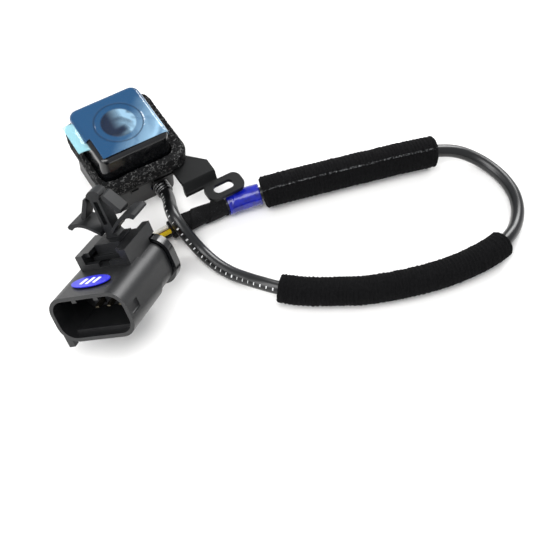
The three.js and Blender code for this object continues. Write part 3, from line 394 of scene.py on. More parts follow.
def open_cell_foam():
    """Polyurethane foam: no gloss, near black, with grey flecks where cut cell walls face the light."""
    material, tree, shader = new_material("pu_foam_cut", "#060607", 0.9, {"Specular IOR Level": 0.25})
    place = add_node(tree, "TexCoord").outputs["Object"]
    cells = add_node(tree, "TexVoronoi", {"Scale": per_mm(0.9)}, {"Vector": place},
                     feature="DISTANCE_TO_EDGE")
    walls = add_node(tree, "ValToRGB", links={0: cells.outputs["Distance"]},
                     stops=[(0.0, "#6E6E6D"), (0.08, "#202020"), (0.2, "#030304")])
    patches = add_node(tree, "TexNoise", {"Scale": per_mm(1.1), "Detail": 3}, {"Vector": place})
    share = add_node(tree, "ValToRGB", links={0: patches.outputs[0]},
                     stops=[(0.5, "#000000"), (0.6, "#FFFFFF")])
    tint = add_node(tree, "Mix", {6: colour("#060607")}, {0: share.outputs[0], 7: walls.outputs[0]},
                    data_type="RGBA")
    tree.links.new(tint.outputs[2], shader.inputs["Base Color"])
    bump = add_node(tree, "Bump", {"Strength": 1, "Distance": 0.0002}, {"Height": cells.outputs["Distance"]})
    tree.links.new(bump.outputs[0], shader.inputs["Normal"])
    return material


def remeshed(bm, size):
    """The same solid as an even net of small faces; size in metres."""
    mesh = bpy.data.meshes.new("net")
    bm.to_mesh(mesh)
    bm.free()
    piece = bpy.data.objects.new("net", mesh)
    bpy.context.scene.collection.objects.link(piece)
    net = piece.modifiers.new("net", "REMESH")
    net.mode = "VOXEL"
    net.voxel_size = size
    bpy.context.view_layer.update()
    result = bmesh.new()
    result.from_mesh(piece.evaluated_get(bpy.context.evaluated_depsgraph_get()).data)
    bpy.data.objects.remove(piece)
    return result


CELL = 0.0009
NET = 0.00026                     # spacing of the net that carries the cells
foam = remeshed(softened("foam_gasket", 0.6, segments=3, turn=math.radians(60)), NET)
foam.normal_update()
for v in foam.verts:
    to_cell = noise.voronoi(v.co / CELL)[0][0]
    pit = max(0.0, 0.55 - to_cell) * CELL
    swell = noise.noise(v.co / 0.004) * 0.0002
    fray = noise.noise(v.co / 0.00035) * 0.00006
    v.co += v.normal * (swell + fray - pit)
gasket = add_piece("foam_ring", foam, open_cell_foam(), replaces=["foam_gasket"])


# ---------------------------------------------------------------- bracket
# A ring round the housing with an arm that steps down to a slotted ear, for one screw. It is pressed steel
# with a satin black coating.

def coated_bracket():
    """Steel under a baked black coating: satin, with an orange-peel ripple and a few pale rubs."""
    material, tree, shader = new_material(
        "steel_powder_coated", "#060707", 0.45, {"Specular IOR Level": 0.25})
    place, _ = grain(tree, shader, 0.35, 0.014)
    rubs = add_node(tree, "TexNoise", {"Scale": per_mm(1.6), "Detail": 6, "Roughness": 0.7},
                    {"Vector": place})
    tint = add_node(tree, "ValToRGB", links={0: rubs.outputs[0]},
                    stops=[(0.6, "#060707"), (0.78, "#1B1C1D")])
    tree.links.new(tint.outputs[0], shader.inputs["Base Color"])
    return material


add_piece("bracket", softened("mounting_bracket", 0.22), coated_bracket(),
          replaces=["mounting_bracket"])


# ---------------------------------------------------------------- protective film
# A clear blue peel-off film that still covers the lens face. It is pulled over three of the soft edges, bears
# the raised print of the lens ring, and has a crease to one corner and a pull tab that stands out on one
# side. Its
# colour carries painted light: pale painted reflections towards that corner and over the lens, and a dark
# painted shade line along the ring.

FILM_LIFT = 0.00035               # film above the shell
FILM_SHEET = 0.00012              # thickness
FILM_SKIRT = 0.0036               # along the film, from the flat face down over the edge
TAB_FROM = -0.0043                # ends of the tab along the film's left side
TAB_TO = 0.0083
TAB_LENGTH = 0.0043
CREASE_TO = (0.0095, -0.0088)     # corner that the crease runs to
RING_RADIUS = 0.0082             # where the film rides over the rim of the lens: a raised ring with a painted shade line along it
GRID = 170                        # faces along one side of the film


def wrapped(x, y):
    """Where a point of the flat film goes when its sides are pulled down over the soft edges."""
    flat = FACE_HALF - EDGE_ROUND
    corner = BODY_CORNER - EDGE_ROUND
    inner = flat - corner
    away = Vector([math.copysign(max(abs(side) - inner, 0), side) for side in (x, y)])
    beyond = away.length - corner
    height = TOP + FILM_LIFT
    if beyond <= 0:
        return Vector((x, y, height))
    outward = away.normalized()
    foot = Vector((x, y)) - outward * beyond
    bend = EDGE_ROUND + FILM_LIFT
    turn = min(beyond / bend, math.pi / 2)
    straight = max(beyond - bend * math.pi / 2, 0)
    foot += outward * bend * math.sin(turn)
    return Vector((foot.x, foot.y, height - bend * (1 - math.cos(turn)) - straight))


def film_height(x, y):
    """How far the film stands off: the print of the ring, the crease, and slack between them."""
    ring = 0.00014 * math.exp(-((math.hypot(x, y) - RING_RADIUS) / 0.0005) ** 2)
    along = Vector(CREASE_TO).normalized()
    across = abs(x * along.y - y * along.x + 0.0006 * math.sin((x + y) * 900))
    reach = min(max((x * along.x + y * along.y - RING_RADIUS) / 0.002, 0), 1)
    crease = 0.00028 * math.exp(-(across / 0.00045) ** 2) * reach
    dip = 0.0004 * max(0.0, (x - y) / 0.02 - 0.35)
    slack = 0.00004 * noise.noise(Vector((x, y, 0)) / 0.006)
    return ring + crease + slack - dip


def lens_reflection(x, y):
    """The share of pale painted reflection over the lens: none on the dome's left side and in one leaf-shaped
    patch, which stay dark, and more towards the right."""
    right = 0.95 * x - 0.3 * y
    up = 0.95 * y + 0.3 * x
    from_leaf = up + 0.0034
    along = 0.9 * right + 0.44 * from_leaf
    across = 0.9 * from_leaf - 0.44 * right
    leaf = math.exp(-(along / 0.003) ** 4 - (across / 0.0015) ** 4)
    free = min(max((right + 0.25 * up + 0.003) / 0.0055, 0), 1)
    return 0.8 * free ** 1.5 * (1 - leaf)


def blue_film(name, base, alpha, over_lens, base_over_lens):
    """Polyethylene film: clear blue and glossy, with a fine haze. Where it touches the face it looks blue,
    and over the lens it is darker and clearer. A pale painted reflection lies on it in soft clouds towards
    the corner where the crease runs and over part of the lens, and makes it more opaque there; a dark painted
    shade line runs round the rim of the lens."""
    material, tree, shader = new_material(name, base, 0.1, {"Coat Weight": 0.3})
    free = add_node(tree, "Attribute", attribute_name="over_lens").outputs["Fac"]
    clear = add_node(tree, "MapRange", {"To Min": alpha, "To Max": over_lens}, {"Value": free})
    tint = add_node(tree, "Mix", {6: colour(base), 7: colour(base_over_lens)}, {0: free},
                    data_type="RGBA")
    place = add_node(tree, "TexCoord").outputs["Object"]
    reflection_share = add_node(tree, "Attribute", attribute_name="reflection_share").outputs["Fac"]
    cloud = add_node(tree, "TexNoise", {"Scale": per_mm(9), "Detail": 1, "Distortion": 1.2},
                     {"Vector": place})
    streak = add_node(tree, "MapRange", {"From Min": 0.3, "From Max": 0.55}, {"Value": cloud.outputs[0]})
    # Painted reflection: pale milky clouds on the film's colour and alpha, towards the crease's corner and
    # over the lens.
    painted_reflection = add_node(tree, "Math", links={0: reflection_share, 1: streak.outputs[0]}, operation="MULTIPLY")
    cover = add_node(tree, "Math", links={0: clear.outputs[0], 1: painted_reflection.outputs[0]}, operation="MAXIMUM")
    tree.links.new(cover.outputs[0], shader.inputs["Alpha"])
    # The pale blue mixed in here is a painted reflection.
    pale = add_node(tree, "Mix", {7: colour("#9CC3DC")}, {0: painted_reflection.outputs[0], 6: tint.outputs[2]},
                    data_type="RGBA")
    # A dark painted shade line along the ring over the rim of the lens.
    rim = add_node(tree, "Attribute", attribute_name="rim").outputs["Fac"]
    rim_shade_line = add_node(tree, "Mix", {7: colour("#0B2742")}, {0: rim, 6: pale.outputs[2]},
                     data_type="RGBA")
    tree.links.new(rim_shade_line.outputs[2], shader.inputs["Base Color"])
    haze = add_node(tree, "TexNoise", {"Scale": per_mm(5), "Detail": 3}, {"Vector": place})
    sheen = add_node(tree, "MapRange", {"To Min": 0.05, "To Max": 0.13}, {"Value": haze.outputs[0]})
    tree.links.new(sheen.outputs[0], shader.inputs["Roughness"])
    return material


def thicken(piece, offset):
    """Gives a thin sheet its thickness, on its outer side with offset 1 and on its inner side with -1."""
    thickness = piece.modifiers.new("thickness", "SOLIDIFY")
    thickness.thickness = FILM_SHEET
    thickness.offset = offset


flat_half = FACE_HALF - EDGE_ROUND
film = bmesh.new()
bmesh.ops.create_grid(film, x_segments=GRID, y_segments=GRID, size=flat_half + FILM_SKIRT)
trimmed = []
for face in film.faces:
    middle = face.calc_center_median()
    left_skirt = middle.x < -flat_half - 0.0001 and middle.y < TAB_FROM + 0.003
    if middle.y < -flat_half or left_skirt:
        trimmed.append(face)
bmesh.ops.delete(film, geom=trimmed, context="FACES")
over_lens = film.verts.layers.float.new("over_lens")
reflection_share = film.verts.layers.float.new("reflection_share")
rim = film.verts.layers.float.new("rim")
for v in film.verts:
    x, y = v.co.x, v.co.y
    from_axis = math.hypot(x, y)
    over = min(max((GLASS + 0.0008 - from_axis) / 0.0005, 0), 1)
    # Painted reflection: a pale share that grows towards the crease's corner, and over the lens the painted
    # reflection pattern.
    corner_reflection = min(max((x - y) / 0.02 - 0.1, 0), 0.8)
    v[over_lens] = over
    v[reflection_share] = corner_reflection * (1 - over) + lens_reflection(x, y) * over
    # A painted shade line along the ring over the rim of the lens.
    v[rim] = 0.75 * math.exp(-((from_axis - RING_RADIUS) / 0.00025) ** 2)
    v.co = HEAD + wrapped(x, y) + Vector((0, 0, film_height(x, y)))
bmesh.ops.recalc_face_normals(film, faces=film.faces)
if sum(f.normal.z for f in film.faces) < 0:
    bmesh.ops.reverse_faces(film, faces=film.faces)
film_blue = blue_film("pe_film_blue", "#174A73", 0.66, 0.55, "#0A1E38")
thicken(add_piece("peel_film", film, film_blue, body="film", replaces=["protective_film"]), 1)

tab = bmesh.new()
bmesh.ops.create_grid(tab, x_segments=12, y_segments=20, size=0.5)
for v in tab.verts:
    x = HEAD.x - FACE_HALF - FILM_LIFT + 0.0004 - (v.co.x + 0.5) * TAB_LENGTH
    y = HEAD.y + TAB_FROM + (v.co.y + 0.5) * (TAB_TO - TAB_FROM)
    curl = 0.0006 * math.sin((v.co.x + 0.5) * 2.2) + 0.0002 * math.sin(v.co.y * 5)
    v.co = Vector((x, y, TOP - EDGE_ROUND + 0.0002 + curl))
bmesh.ops.recalc_face_normals(tab, faces=tab.faces)
tab_blue = blue_film("pe_film_tab", "#A3D8E2", 0.5, 0.5, "#A3D8E2")
thicken(add_piece("film_tab", tab, tab_blue, body="film"), -1)


# ---------------------------------------------------------------- cable
# One jacketed cable, 4.6 mm thick, runs from the rear shell in a loop to the connector. The jacket is smooth
# satin PVC, extruded, with a row of small white tick marks printed along one side.

ROUTE = [
    (0.0065, -0.0086, 0.0054), (0.0065, -0.013, 0.0054), (0.0065, -0.0173, 0.0054),
    (0.0054, -0.0218, 0.0068), (0.0036, -0.0264, 0.009), (0.0026, -0.0312, 0.0098),
    (0.0032, -0.0359, 0.0078), (0.0045, -0.0398, 0.0049), (0.0057, -0.0438, 0.003),
    (0.0073, -0.0495, 0.0024), (0.0097, -0.0553, 0.0026), (0.0127, -0.0605, 0.0035),
    (0.0159, -0.0656, 0.0048), (0.0195, -0.0701, 0.0053), (0.0265, -0.0759, 0.0053),
    (0.0348, -0.081, 0.0053), (0.0423, -0.0852, 0.0053), (0.0504, -0.0885, 0.0053),
    (0.0591, -0.0914, 0.0053), (0.068, -0.0937, 0.0053), (0.08, -0.0954, 0.0053),
    (0.091, -0.0954, 0.0053), (0.0986, -0.0936, 0.0047), (0.105, -0.0902, 0.0031),
    (0.1102, -0.0852, 0.0024), (0.1132, -0.0794, 0.0024), (0.1142, -0.0728, 0.0024),
    (0.1133, -0.066, 0.0026), (0.1103, -0.06, 0.0036), (0.1055, -0.0554, 0.0052),
    (0.099, -0.052, 0.00615), (0.092, -0.0498, 0.0062), (0.084, -0.0475, 0.0062),
    (0.0743, -0.045, 0.0062), (0.063, -0.042, 0.0062), (0.0541, -0.0398, 0.0062),
    (0.0459, -0.0377, 0.0062), (0.0386, -0.036, 0.00615), (0.0328, -0.0343, 0.0054),
    (0.0276, -0.0328, 0.0045), (0.0226, -0.0318, 0.0039), (0.0171, -0.0312, 0.0035),
    (0.0111, -0.0306, 0.00345), (0.005, -0.0304, 0.00345), (0.0005, -0.0306, 0.0036),
]
CABLE = 0.0046                    # diameter
route = [HEAD + Vector(p) for p in ROUTE]


def along_route(place):
    """A point on the smooth curve through the route; place is counted in the route's points."""
    i = min(int(place), len(route) - 2)
    t = place - i
    p1, p2 = route[i], route[i + 1]
    p0 = route[i - 1] if i > 0 else 2 * p1 - p2
    p3 = route[i + 2] if i + 2 < len(route) else 2 * p2 - p1
    d0, d1, d2 = [(b - a).length ** 0.5 for a, b in ((p0, p1), (p1, p2), (p2, p3))]
    m1 = ((p1 - p0) / d0 - (p2 - p0) / (d0 + d1) + (p2 - p1) / d1) * d1
    m2 = ((p2 - p1) / d1 - (p3 - p1) / (d1 + d2) + (p3 - p2) / d2) * d1
    return (p1 * (2 * t ** 3 - 3 * t ** 2 + 1) + m1 * (t ** 3 - 2 * t ** 2 + t)
            + p2 * (3 * t ** 2 - 2 * t ** 3) + m2 * (t ** 3 - t ** 2))


def stretch(start, end, step):
    """Evenly spaced points on the route between two places on it, and its length there; step in metres."""
    parts = 2000
    fine = [along_route(start + (end - start) * i / parts) for i in range(parts + 1)]
    run = [0.0]
    for a, b in zip(fine, fine[1:]):
        run.append(run[-1] + (b - a).length)
    count = max(2, round(run[-1] / step))
    points = []
    i = 0
    for k in range(count + 1):
        target = run[-1] * k / count
        while i < len(run) - 2 and run[i + 1] < target:
            i += 1
        share = (target - run[i]) / max(run[i + 1] - run[i], 1e-12)
        points.append(fine[i].lerp(fine[i + 1], min(share, 1)))
    return points, run[-1]


def tube(points, radii, around):
    """A tube with a radius at each point, with a UV map: along the tube, and round it."""
    curve = bpy.data.curves.new("tube", "CURVE")
    curve.dimensions = "3D"
    curve.twist_mode = "Z_UP"
    curve.bevel_depth = 1
    curve.bevel_resolution = (around - 4) // 2
    curve.use_fill_caps = True
    spline = curve.splines.new("POLY")
    spline.points.add(len(points) - 1)
    for point, place, radius in zip(spline.points, points, radii):
        point.co = (*place, 1)
        point.radius = radius
    holder = bpy.data.objects.new("tube", curve)
    mesh = bpy.data.meshes.new_from_object(holder)
    bpy.data.objects.remove(holder)
    bm = bmesh.new()
    bm.from_mesh(mesh)
    bmesh.ops.remove_doubles(bm, verts=bm.verts, dist=1e-7)
    return bm


PRINT_AT = 0.37                   # where the print lies round the jacket, as a share of a turn
PRINT_HALF = 0.035                # half its width, as a share of a turn
PRINT_PITCH = 0.0021
PRINT_END = 0.085                 # the print shows on the first stretch only


def pvc_jacket(length):
    """Extruded PVC: satin black with a soft grey highlight, fine draw lines, and printed tick marks 2 mm
    apart on one side. The marks are plain strokes and spell nothing."""
    material, tree, shader = new_material("pvc_jacket_extruded", "#0B0C0D", 0.3)
    grain(tree, shader, 0.6, 0.015)
    spot = add_node(tree, "SeparateXYZ", links={0: add_node(tree, "UVMap").outputs[0]})
    run = add_node(tree, "Math", {1: length / PRINT_PITCH}, {0: spot.outputs[0]}, operation="MULTIPLY")
    within = add_node(tree, "Math", links={0: run.outputs[0]}, operation="FRACT")
    which = add_node(tree, "Math", links={0: run.outputs[0]}, operation="FLOOR")
    chance = add_node(tree, "TexWhiteNoise", links={"W": which.outputs[0]}, noise_dimensions="1D")
    width = add_node(tree, "MapRange", {"To Min": 0.04, "To Max": 0.26}, {"Value": chance.outputs[0]})
    stroke = add_node(tree, "Math", links={0: within.outputs[0], 1: width.outputs[0]}, operation="LESS_THAN")
    side = add_node(tree, "Math", {1: PRINT_AT, 2: PRINT_HALF}, {0: spot.outputs[1]}, operation="COMPARE")
    printed = add_node(tree, "Math", {1: PRINT_END / length}, {0: spot.outputs[0]}, operation="LESS_THAN")
    both = add_node(tree, "Math", links={0: stroke.outputs[0], 1: side.outputs[0]}, operation="MULTIPLY")
    ink = add_node(tree, "Math", links={0: both.outputs[0], 1: printed.outputs[0]}, operation="MULTIPLY")
    tint = add_node(tree, "Mix", {6: colour("#0B0C0D"), 7: colour("#D5D6D6")}, {0: ink.outputs[0]},
                    data_type="RGBA")
    tree.links.new(tint.outputs[2], shader.inputs["Base Color"])
    return material


cable_line, cable_length = stretch(0, len(ROUTE) - 1, 0.0012)
jacket = tube(cable_line, [CABLE / 2] * len(cable_line), 32)
cable = add_piece("cable_jacket", jacket, pvc_jacket(cable_length), replaces=["camera_cable"])


# ---------------------------------------------------------------- strain relief
# A short glossy rubber boot where the cable leaves the rear shell, with wrinkles where it is squeezed. It has
# a flange against the shell and narrows towards its free end.

def boot_rubber():
    """Soft PVC dipped over the exit: wet-looking black with fine wrinkles 0.7 mm apart."""
    material, tree, shader = new_material("soft_pvc_dipped", "#0C0C0D", 0.16, {"Coat Weight": 0.5})
    grain(tree, shader, 0.7, 0.09, detail=3)
    return material


BOOT_STEPS = 40
FLANGE_LENGTH = 0.0012
WRINKLE = 0.00012                 # depth of a wrinkle
WRINKLE_PITCH = 0.0011
relief_low, relief_high = corners_of("strain_relief")
relief_at = Vector(((relief_low.x + relief_high.x) / 2, 0, (relief_low.z + relief_high.z) / 2))
flange = (relief_high.x - relief_low.x) / 2
neck = flange - 0.0006
boot_length = relief_high.y - relief_low.y
boot_points = []
boot_radii = []
for i in range(BOOT_STEPS + 1):
    at = boot_length * i / BOOT_STEPS
    boot_points.append(Vector((relief_at.x, relief_high.y - at, relief_at.z)))
    wrinkle = WRINKLE * (math.sin(at * 2 * math.pi / WRINKLE_PITCH) - 1)
    taper = 0.0002 * max(at / boot_length - 0.5, 0)
    boot_radii.append(flange if at < FLANGE_LENGTH else neck + wrinkle - taper)
boot = add_piece("cable_boot", tube(boot_points, boot_radii, 40), boot_rubber(),
                 replaces=["strain_relief"])


# ---------------------------------------------------------------- fleece sleeves
# Two tubes of ribbed black fleece keep the cable from rattling. The upper one is wrapped round the cable with
# an overlapping edge, which shows as a lengthwise seam with pale fibres in it.

RIB = 0.0014                      # spacing of the ribs
LOWER_SPAN = (13, 21.4)           # counted in the route's points, as every span is
UPPER_SPAN = (30.2, 37.6)
SEAM_AT = 0.16                    # where the seam lies round the sleeve, as a share of a turn
ABOVE_TABLE = 0.00002             # the fibres stop just above the table
FLAP_TURN = 0.3                   # how far round the sleeve the overlapping edge slopes away


def knitted_fleece(name):
    """Polyester fleece: black with a dusty sheen and stray grey fibres 0.2 mm thick."""
    material, tree, shader = new_material(name, "#060607", 1.0, {"Specular IOR Level": 0.12})
    place = add_node(tree, "TexCoord").outputs["Object"]
    fibres = add_node(tree, "TexNoise", {"Scale": per_mm(0.22), "Detail": 4, "Roughness": 0.7},
                      {"Vector": place})
    tint = add_node(tree, "ValToRGB", links={0: fibres.outputs[0]},
                    stops=[(0.42, "#040405"), (0.6, "#121213"), (0.76, "#3A3B3C")])
    bump = add_node(tree, "Bump", {"Strength": 1, "Distance": 0.0004}, {"Height": fibres.outputs[0]})
    tree.links.new(bump.outputs[0], shader.inputs["Normal"])
    tree.links.new(tint.outputs[0], shader.inputs["Base Color"])
    return material, tree, shader, tint


def seamed_fleece():
    """The same fleece with a line of pale cut fibres, 0.5 mm wide, along the overlapping edge."""
    material, tree, shader, tint = knitted_fleece("fleece_seamed")
    place = add_node(tree, "TexCoord").outputs["Object"]
    spot = add_node(tree, "SeparateXYZ", links={0: add_node(tree, "UVMap").outputs[0]})
    near = add_node(tree, "Math", {1: SEAM_AT, 2: 0.009}, {0: spot.outputs[1]}, operation="COMPARE")
    tufts = add_node(tree, "TexNoise", {"Scale": per_mm(0.35), "Detail": 2}, {"Vector": place})
    chance = add_node(tree, "Math", {1: 0.6}, {0: tufts.outputs[0]}, operation="GREATER_THAN")
    pale = add_node(tree, "Math", links={0: near.outputs[0], 1: chance.outputs[0]}, operation="MULTIPLY")
    seamed = add_node(tree, "Mix", {7: colour("#8B8D8E")}, {0: pale.outputs[0], 6: tint.outputs[0]},
                      data_type="RGBA")
    tree.links.new(seamed.outputs[2], shader.inputs["Base Color"])
    return material


def sleeve(name, node, span, radius, fleece, flap=0.0):
    """A ribbed, fuzzy tube on the cable, with rounded ends; flap is how far its overlapping edge stands up.
    """
    points, length = stretch(*span, RIB / 6)
    radii = []
    ribs = []
    for i in range(len(points)):
        run = length * i / (len(points) - 1)
        end = min(run, length - run)
        rounding = max(0.0, 1 - end / 0.0008) ** 2 * 0.0006
        drift = 0.0011 * noise.noise(points[i] / 0.005)
        radii.append(radius - 0.0003 - rounding)
        ribs.append(math.cos(2 * math.pi * (run + drift) / RIB))
    bm = tube(points, radii, 128)
    bm.normal_update()
    around = bm.loops.layers.uv.active
    rise = {}
    rib = {}
    for face in bm.faces:
        for loop in face.loops:
            turn = (loop[around].uv[1] - SEAM_AT) % 1
            rise[loop.vert] = flap * max(0.0, 1 - turn / FLAP_TURN)
            rib[loop.vert] = ribs[round(loop[around].uv[0] * (len(ribs) - 1))]
    for v in bm.verts:
        tuft = 0.00016 * rib[v] * (0.75 + noise.noise(v.co / 0.0012))
        fuzz = noise.noise(v.co / 0.00045) * 0.00016 + noise.noise(v.co / 0.0022) * 0.00013
        v.co += v.normal * (fuzz + tuft + rise[v])
        v.co.z = max(v.co.z, ABOVE_TABLE)
    return add_piece(name, bm, fleece, replaces=[node])


upper = sleeve("fleece_upper", "upper_sleeve", UPPER_SPAN, 0.0058, seamed_fleece(), flap=0.0003)
lower = sleeve("fleece_lower", "lower_sleeve", LOWER_SPAN, 0.0051, knitted_fleece("fleece_plain")[0])


# ---------------------------------------------------------------- tapes
# Beyond the upper sleeve the cable is wound with glossy blue vinyl tape, and then with black cloth tape as
# far as the wires.

BLUE_SPAN = (37.75, 40)
CLOTH_SPAN = (40.1, 43.9)


def vinyl_tape():
    """Vinyl tape: saturated blue, glossy, drawn tight so that it shows long soft creases."""
    material, tree, shader = new_material("vinyl_tape_calendered", "#07118A", 0.2, {"Coat Weight": 0.2})
    place = add_node(tree, "TexCoord").outputs["Object"]
    creases = add_node(tree, "TexNoise", {"Scale": per_mm(2.2), "Detail": 2}, {"Vector": place})
    bump = add_node(tree, "Bump", {"Strength": 1, "Distance": 0.00005}, {"Height": creases.outputs[0]})
    tree.links.new(bump.outputs[0], shader.inputs["Normal"])
    tint = add_node(tree, "ValToRGB", links={0: creases.outputs[0]},
                    stops=[(0.3, "#050C72"), (0.7, "#0C1A9E")])
    tree.links.new(tint.outputs[0], shader.inputs["Base Color"])
    return material


def cloth_tape():
    """Woven polyester tape: black threads 0.35 mm apart with glints of adhesive between them."""
    material, tree, shader = new_material("cloth_tape_woven", "#070708", 0.8, {"Specular IOR Level": 0.2})
    weave = add_node(tree, "TexNoise", {"Scale": per_mm(0.35), "Detail": 3},
                     {"Vector": add_node(tree, "TexCoord").outputs["Object"]})
    tint = add_node(tree, "ValToRGB", links={0: weave.outputs[0]},
                    stops=[(0.45, "#030304"), (0.66, "#0D0D0E"), (0.76, "#4A4C4E")])
    tree.links.new(tint.outputs[0], shader.inputs["Base Color"])
    bump = add_node(tree, "Bump", {"Strength": 1, "Distance": 0.00025}, {"Height": weave.outputs[0]})
    tree.links.new(bump.outputs[0], shader.inputs["Normal"])
    return material


def winding(name, node, span, radius, pitch, step_up, material):
    """A tape wound on the cable: each turn overlaps the last and steps up at its edge."""
    points, length = stretch(*span, 0.00025)
    radii = [radius] * len(points)
    radii[0] = radii[-1] = radius - 0.00015
    bm = tube(points, radii, 64)
    bm.normal_update()
    layer = bm.loops.layers.uv.active
    place = {loop.vert: loop[layer].uv.copy() for face in bm.faces for loop in face.loops}
    for v in bm.verts:
        spot = place[v]
        phase = (spot[0] * length / pitch + spot[1]) % 1
        overlap = step_up * (phase - 0.5)
        slack = 0.00006 * noise.noise(v.co / 0.003)
        v.co += v.normal * (overlap + slack)
    return add_piece(name, bm, material, replaces=[node])


blue = winding("vinyl_wrap", "blue_tape", BLUE_SPAN, 0.0038, 0.012, 0.0002, vinyl_tape())
cloth = winding("cloth_wrap", "loom_tape", CLOTH_SPAN, 0.0033, 0.0075, 0.0004, cloth_tape())


# ---------------------------------------------------------------- wires
# Four insulated wires leave the cable and go into the back of the connector. The insulation is extruded PVC:
# white, yellow, red and black.

def wire_skin(name, base, deep):
    """Extruded PVC insulation: even colour, satin, with fine scuffs."""
    material, tree, shader = new_material(name, base, 0.38)
    _, pattern = grain(tree, shader, 0.4, 0.02)
    tint = add_node(tree, "ValToRGB", links={0: pattern}, stops=[(0.3, deep), (0.6, base)])
    tree.links.new(tint.outputs[0], shader.inputs["Base Color"])
    return material


for name, base, deep in (("white", "#EDEBE2", "#D2CFC4"), ("yellow", "#DDBD1C", "#B99A10"),
                         ("red", "#A8241F", "#84180F"), ("black", "#121213", "#0A0A0B")):
    skin = wire_skin(f"pvc_{name}_extruded", base, deep)
    add_piece(f"{name}_wire", to_bmesh(f"wire_{name}"), skin,
                           replaces=[f"wire_{name}"])


# ---------------------------------------------------------------- connector
# A sealed six-way connector, moulded in glass-filled PBT: an oval shroud round two rows of blades, a rear cap
# that holds the orange wire seal, and a pair of rails on top for the clip.

def moulded_pbt():
    """Glass-filled PBT: dark grey-black, satin, with a 0.2 mm spark grain and paler flow streaks."""
    material, tree, shader = new_material("pbt_glass_filled", "#0E0F10", 0.42)
    place, _ = grain(tree, shader, 0.2, 0.012, detail=3)
    flow = add_node(tree, "TexNoise", {"Scale": per_mm(8), "Detail": 5, "Roughness": 0.65},
                    {"Vector": place})
    tint = add_node(tree, "ValToRGB", links={0: flow.outputs[0]}, stops=[(0.4, "#0E0F10"), (0.75, "#181819")])
    tree.links.new(tint.outputs[0], shader.inputs["Base Color"])
    return material


TERMINAL_START = 0.0095           # the blades' tips, behind the mouth
SHROUD_HALF = 0.014               # middle of the connector to its side


def axes_of_connector():
    """The connector's own frame, read from its blades: across, lengthwise and up, and the mouth's middle."""
    def middle(i):
        low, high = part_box(f"terminal_{i}")
        return (low + high) / 2
    across = (middle(5) - middle(1)).normalized()
    upward = (middle(2) - middle(1)).normalized()
    lengthwise = upward.cross(across).normalized()
    centre = (middle(3) + middle(4)) / 2
    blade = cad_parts["terminal_3"].data
    tip = min(v.co.dot(lengthwise) for v in blade.vertices)
    mouth = centre + lengthwise * (tip - TERMINAL_START - centre.dot(lengthwise))
    return Matrix.Translation(mouth) @ Matrix((across, lengthwise, upward)).transposed().to_4x4()


def pocket(at, size):
    """A block with round edges that cuts a shallow pocket, placed in the connector's frame."""
    bm = bmesh.new()
    place = connector @ Matrix.Translation(at) @ Matrix.Diagonal((*size, 1))
    bmesh.ops.create_cube(bm, size=1, matrix=place)
    bmesh.ops.bevel(bm, geom=bm.edges[:], offset=0.0004, offset_type="OFFSET", segments=3, affect="EDGES",
                    profile=0.5, material=-1)
    return bm


connector = axes_of_connector()
side_pocket = pocket((SHROUD_HALF, 0.0036, 0.0002), (0.0012, 0.0046, 0.0032))
housing = add_piece("connector_shell", carve(softened("connector_housing", 0.18), side_pocket), moulded_pbt(),
                    replaces=["connector_housing"])
collar = add_piece("connector_cap", softened("rear_cap", 0.4, segments=3), gloss,
                   replaces=["rear_cap"])


def soft_silicone():
    """Silicone rubber: a warm orange with a greasy sheen."""
    material, tree, shader = new_material("silicone_moulded", "#B5561F", 0.45, {"Subsurface Weight": 0.1})
    grain(tree, shader, 0.3, 0.01)
    return material


def tinned_brass():
    """Brass blades, tin plated and stamped: pale gold with fine stamping lines 0.1 mm apart."""
    material, tree, shader = new_material("brass_tin_plated", "#6E6858", 0.4, {"Metallic": 1})
    grain(tree, shader, 0.1, 0.003)
    return material


dress(soft_silicone(), "orange_silicone", "wire_seal")
lock = add_piece("terminal_lock", softened("terminal_retainer", 0.12),
                 matt_nylon("grey_nylon_moulded", "#1D1E20"), body="retainer",
                 replaces=["terminal_retainer"])
terminals = [f"terminal_{i}" for i in range(1, 7)]
blade_set = to_bmesh(*terminals)
round_edges(blade_set, 0.1)
blades = add_piece("terminal_blades", blade_set, tinned_brass(), replaces=terminals)


# ---------------------------------------------------------------- identification label
# A small oval vinyl label on top of the connector: bright blue, with a plain white sign of three slanted bars
# printed on it.

def printed_vinyl(name, base):
    """Printed vinyl: saturated, slightly glossy, with a fine print grain."""
    material, tree, shader = new_material(name, base, 0.32)
    grain(tree, shader, 0.25, 0.008)
    return material


label = add_piece("oval_label", softened("mark_label", 0.08, turn=math.radians(60)),
                  printed_vinyl("vinyl_label_blue", "#1D1FBE"), replaces=["mark_label"])
label_centre = sum((Vector(c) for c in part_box("mark_label")), Vector()) / 2
label_frame = connector.copy()
label_frame.translation = label_centre
lean = Matrix.Rotation(math.radians(-20), 4, "Z")
bars = bmesh.new()
for i, bar_length in ((-1, 0.0030), (0, 0.0036), (1, 0.0030)):
    spot = Matrix.Translation((i * 0.0024, 0, 0.00022))
    size = Matrix.Diagonal((0.0011, bar_length, 0.00012, 1))
    bmesh.ops.create_cube(bars, size=1, matrix=label_frame @ spot @ lean @ size)
sign = add_piece("label_sign", bars, printed_vinyl("vinyl_print_white", "#E4E6F2"))


# ---------------------------------------------------------------- push-in clip
# A separate nylon clip that slides into the rails: a stem with two springy barbs that lock in a panel's hole,
# and two wings that press on the panel.

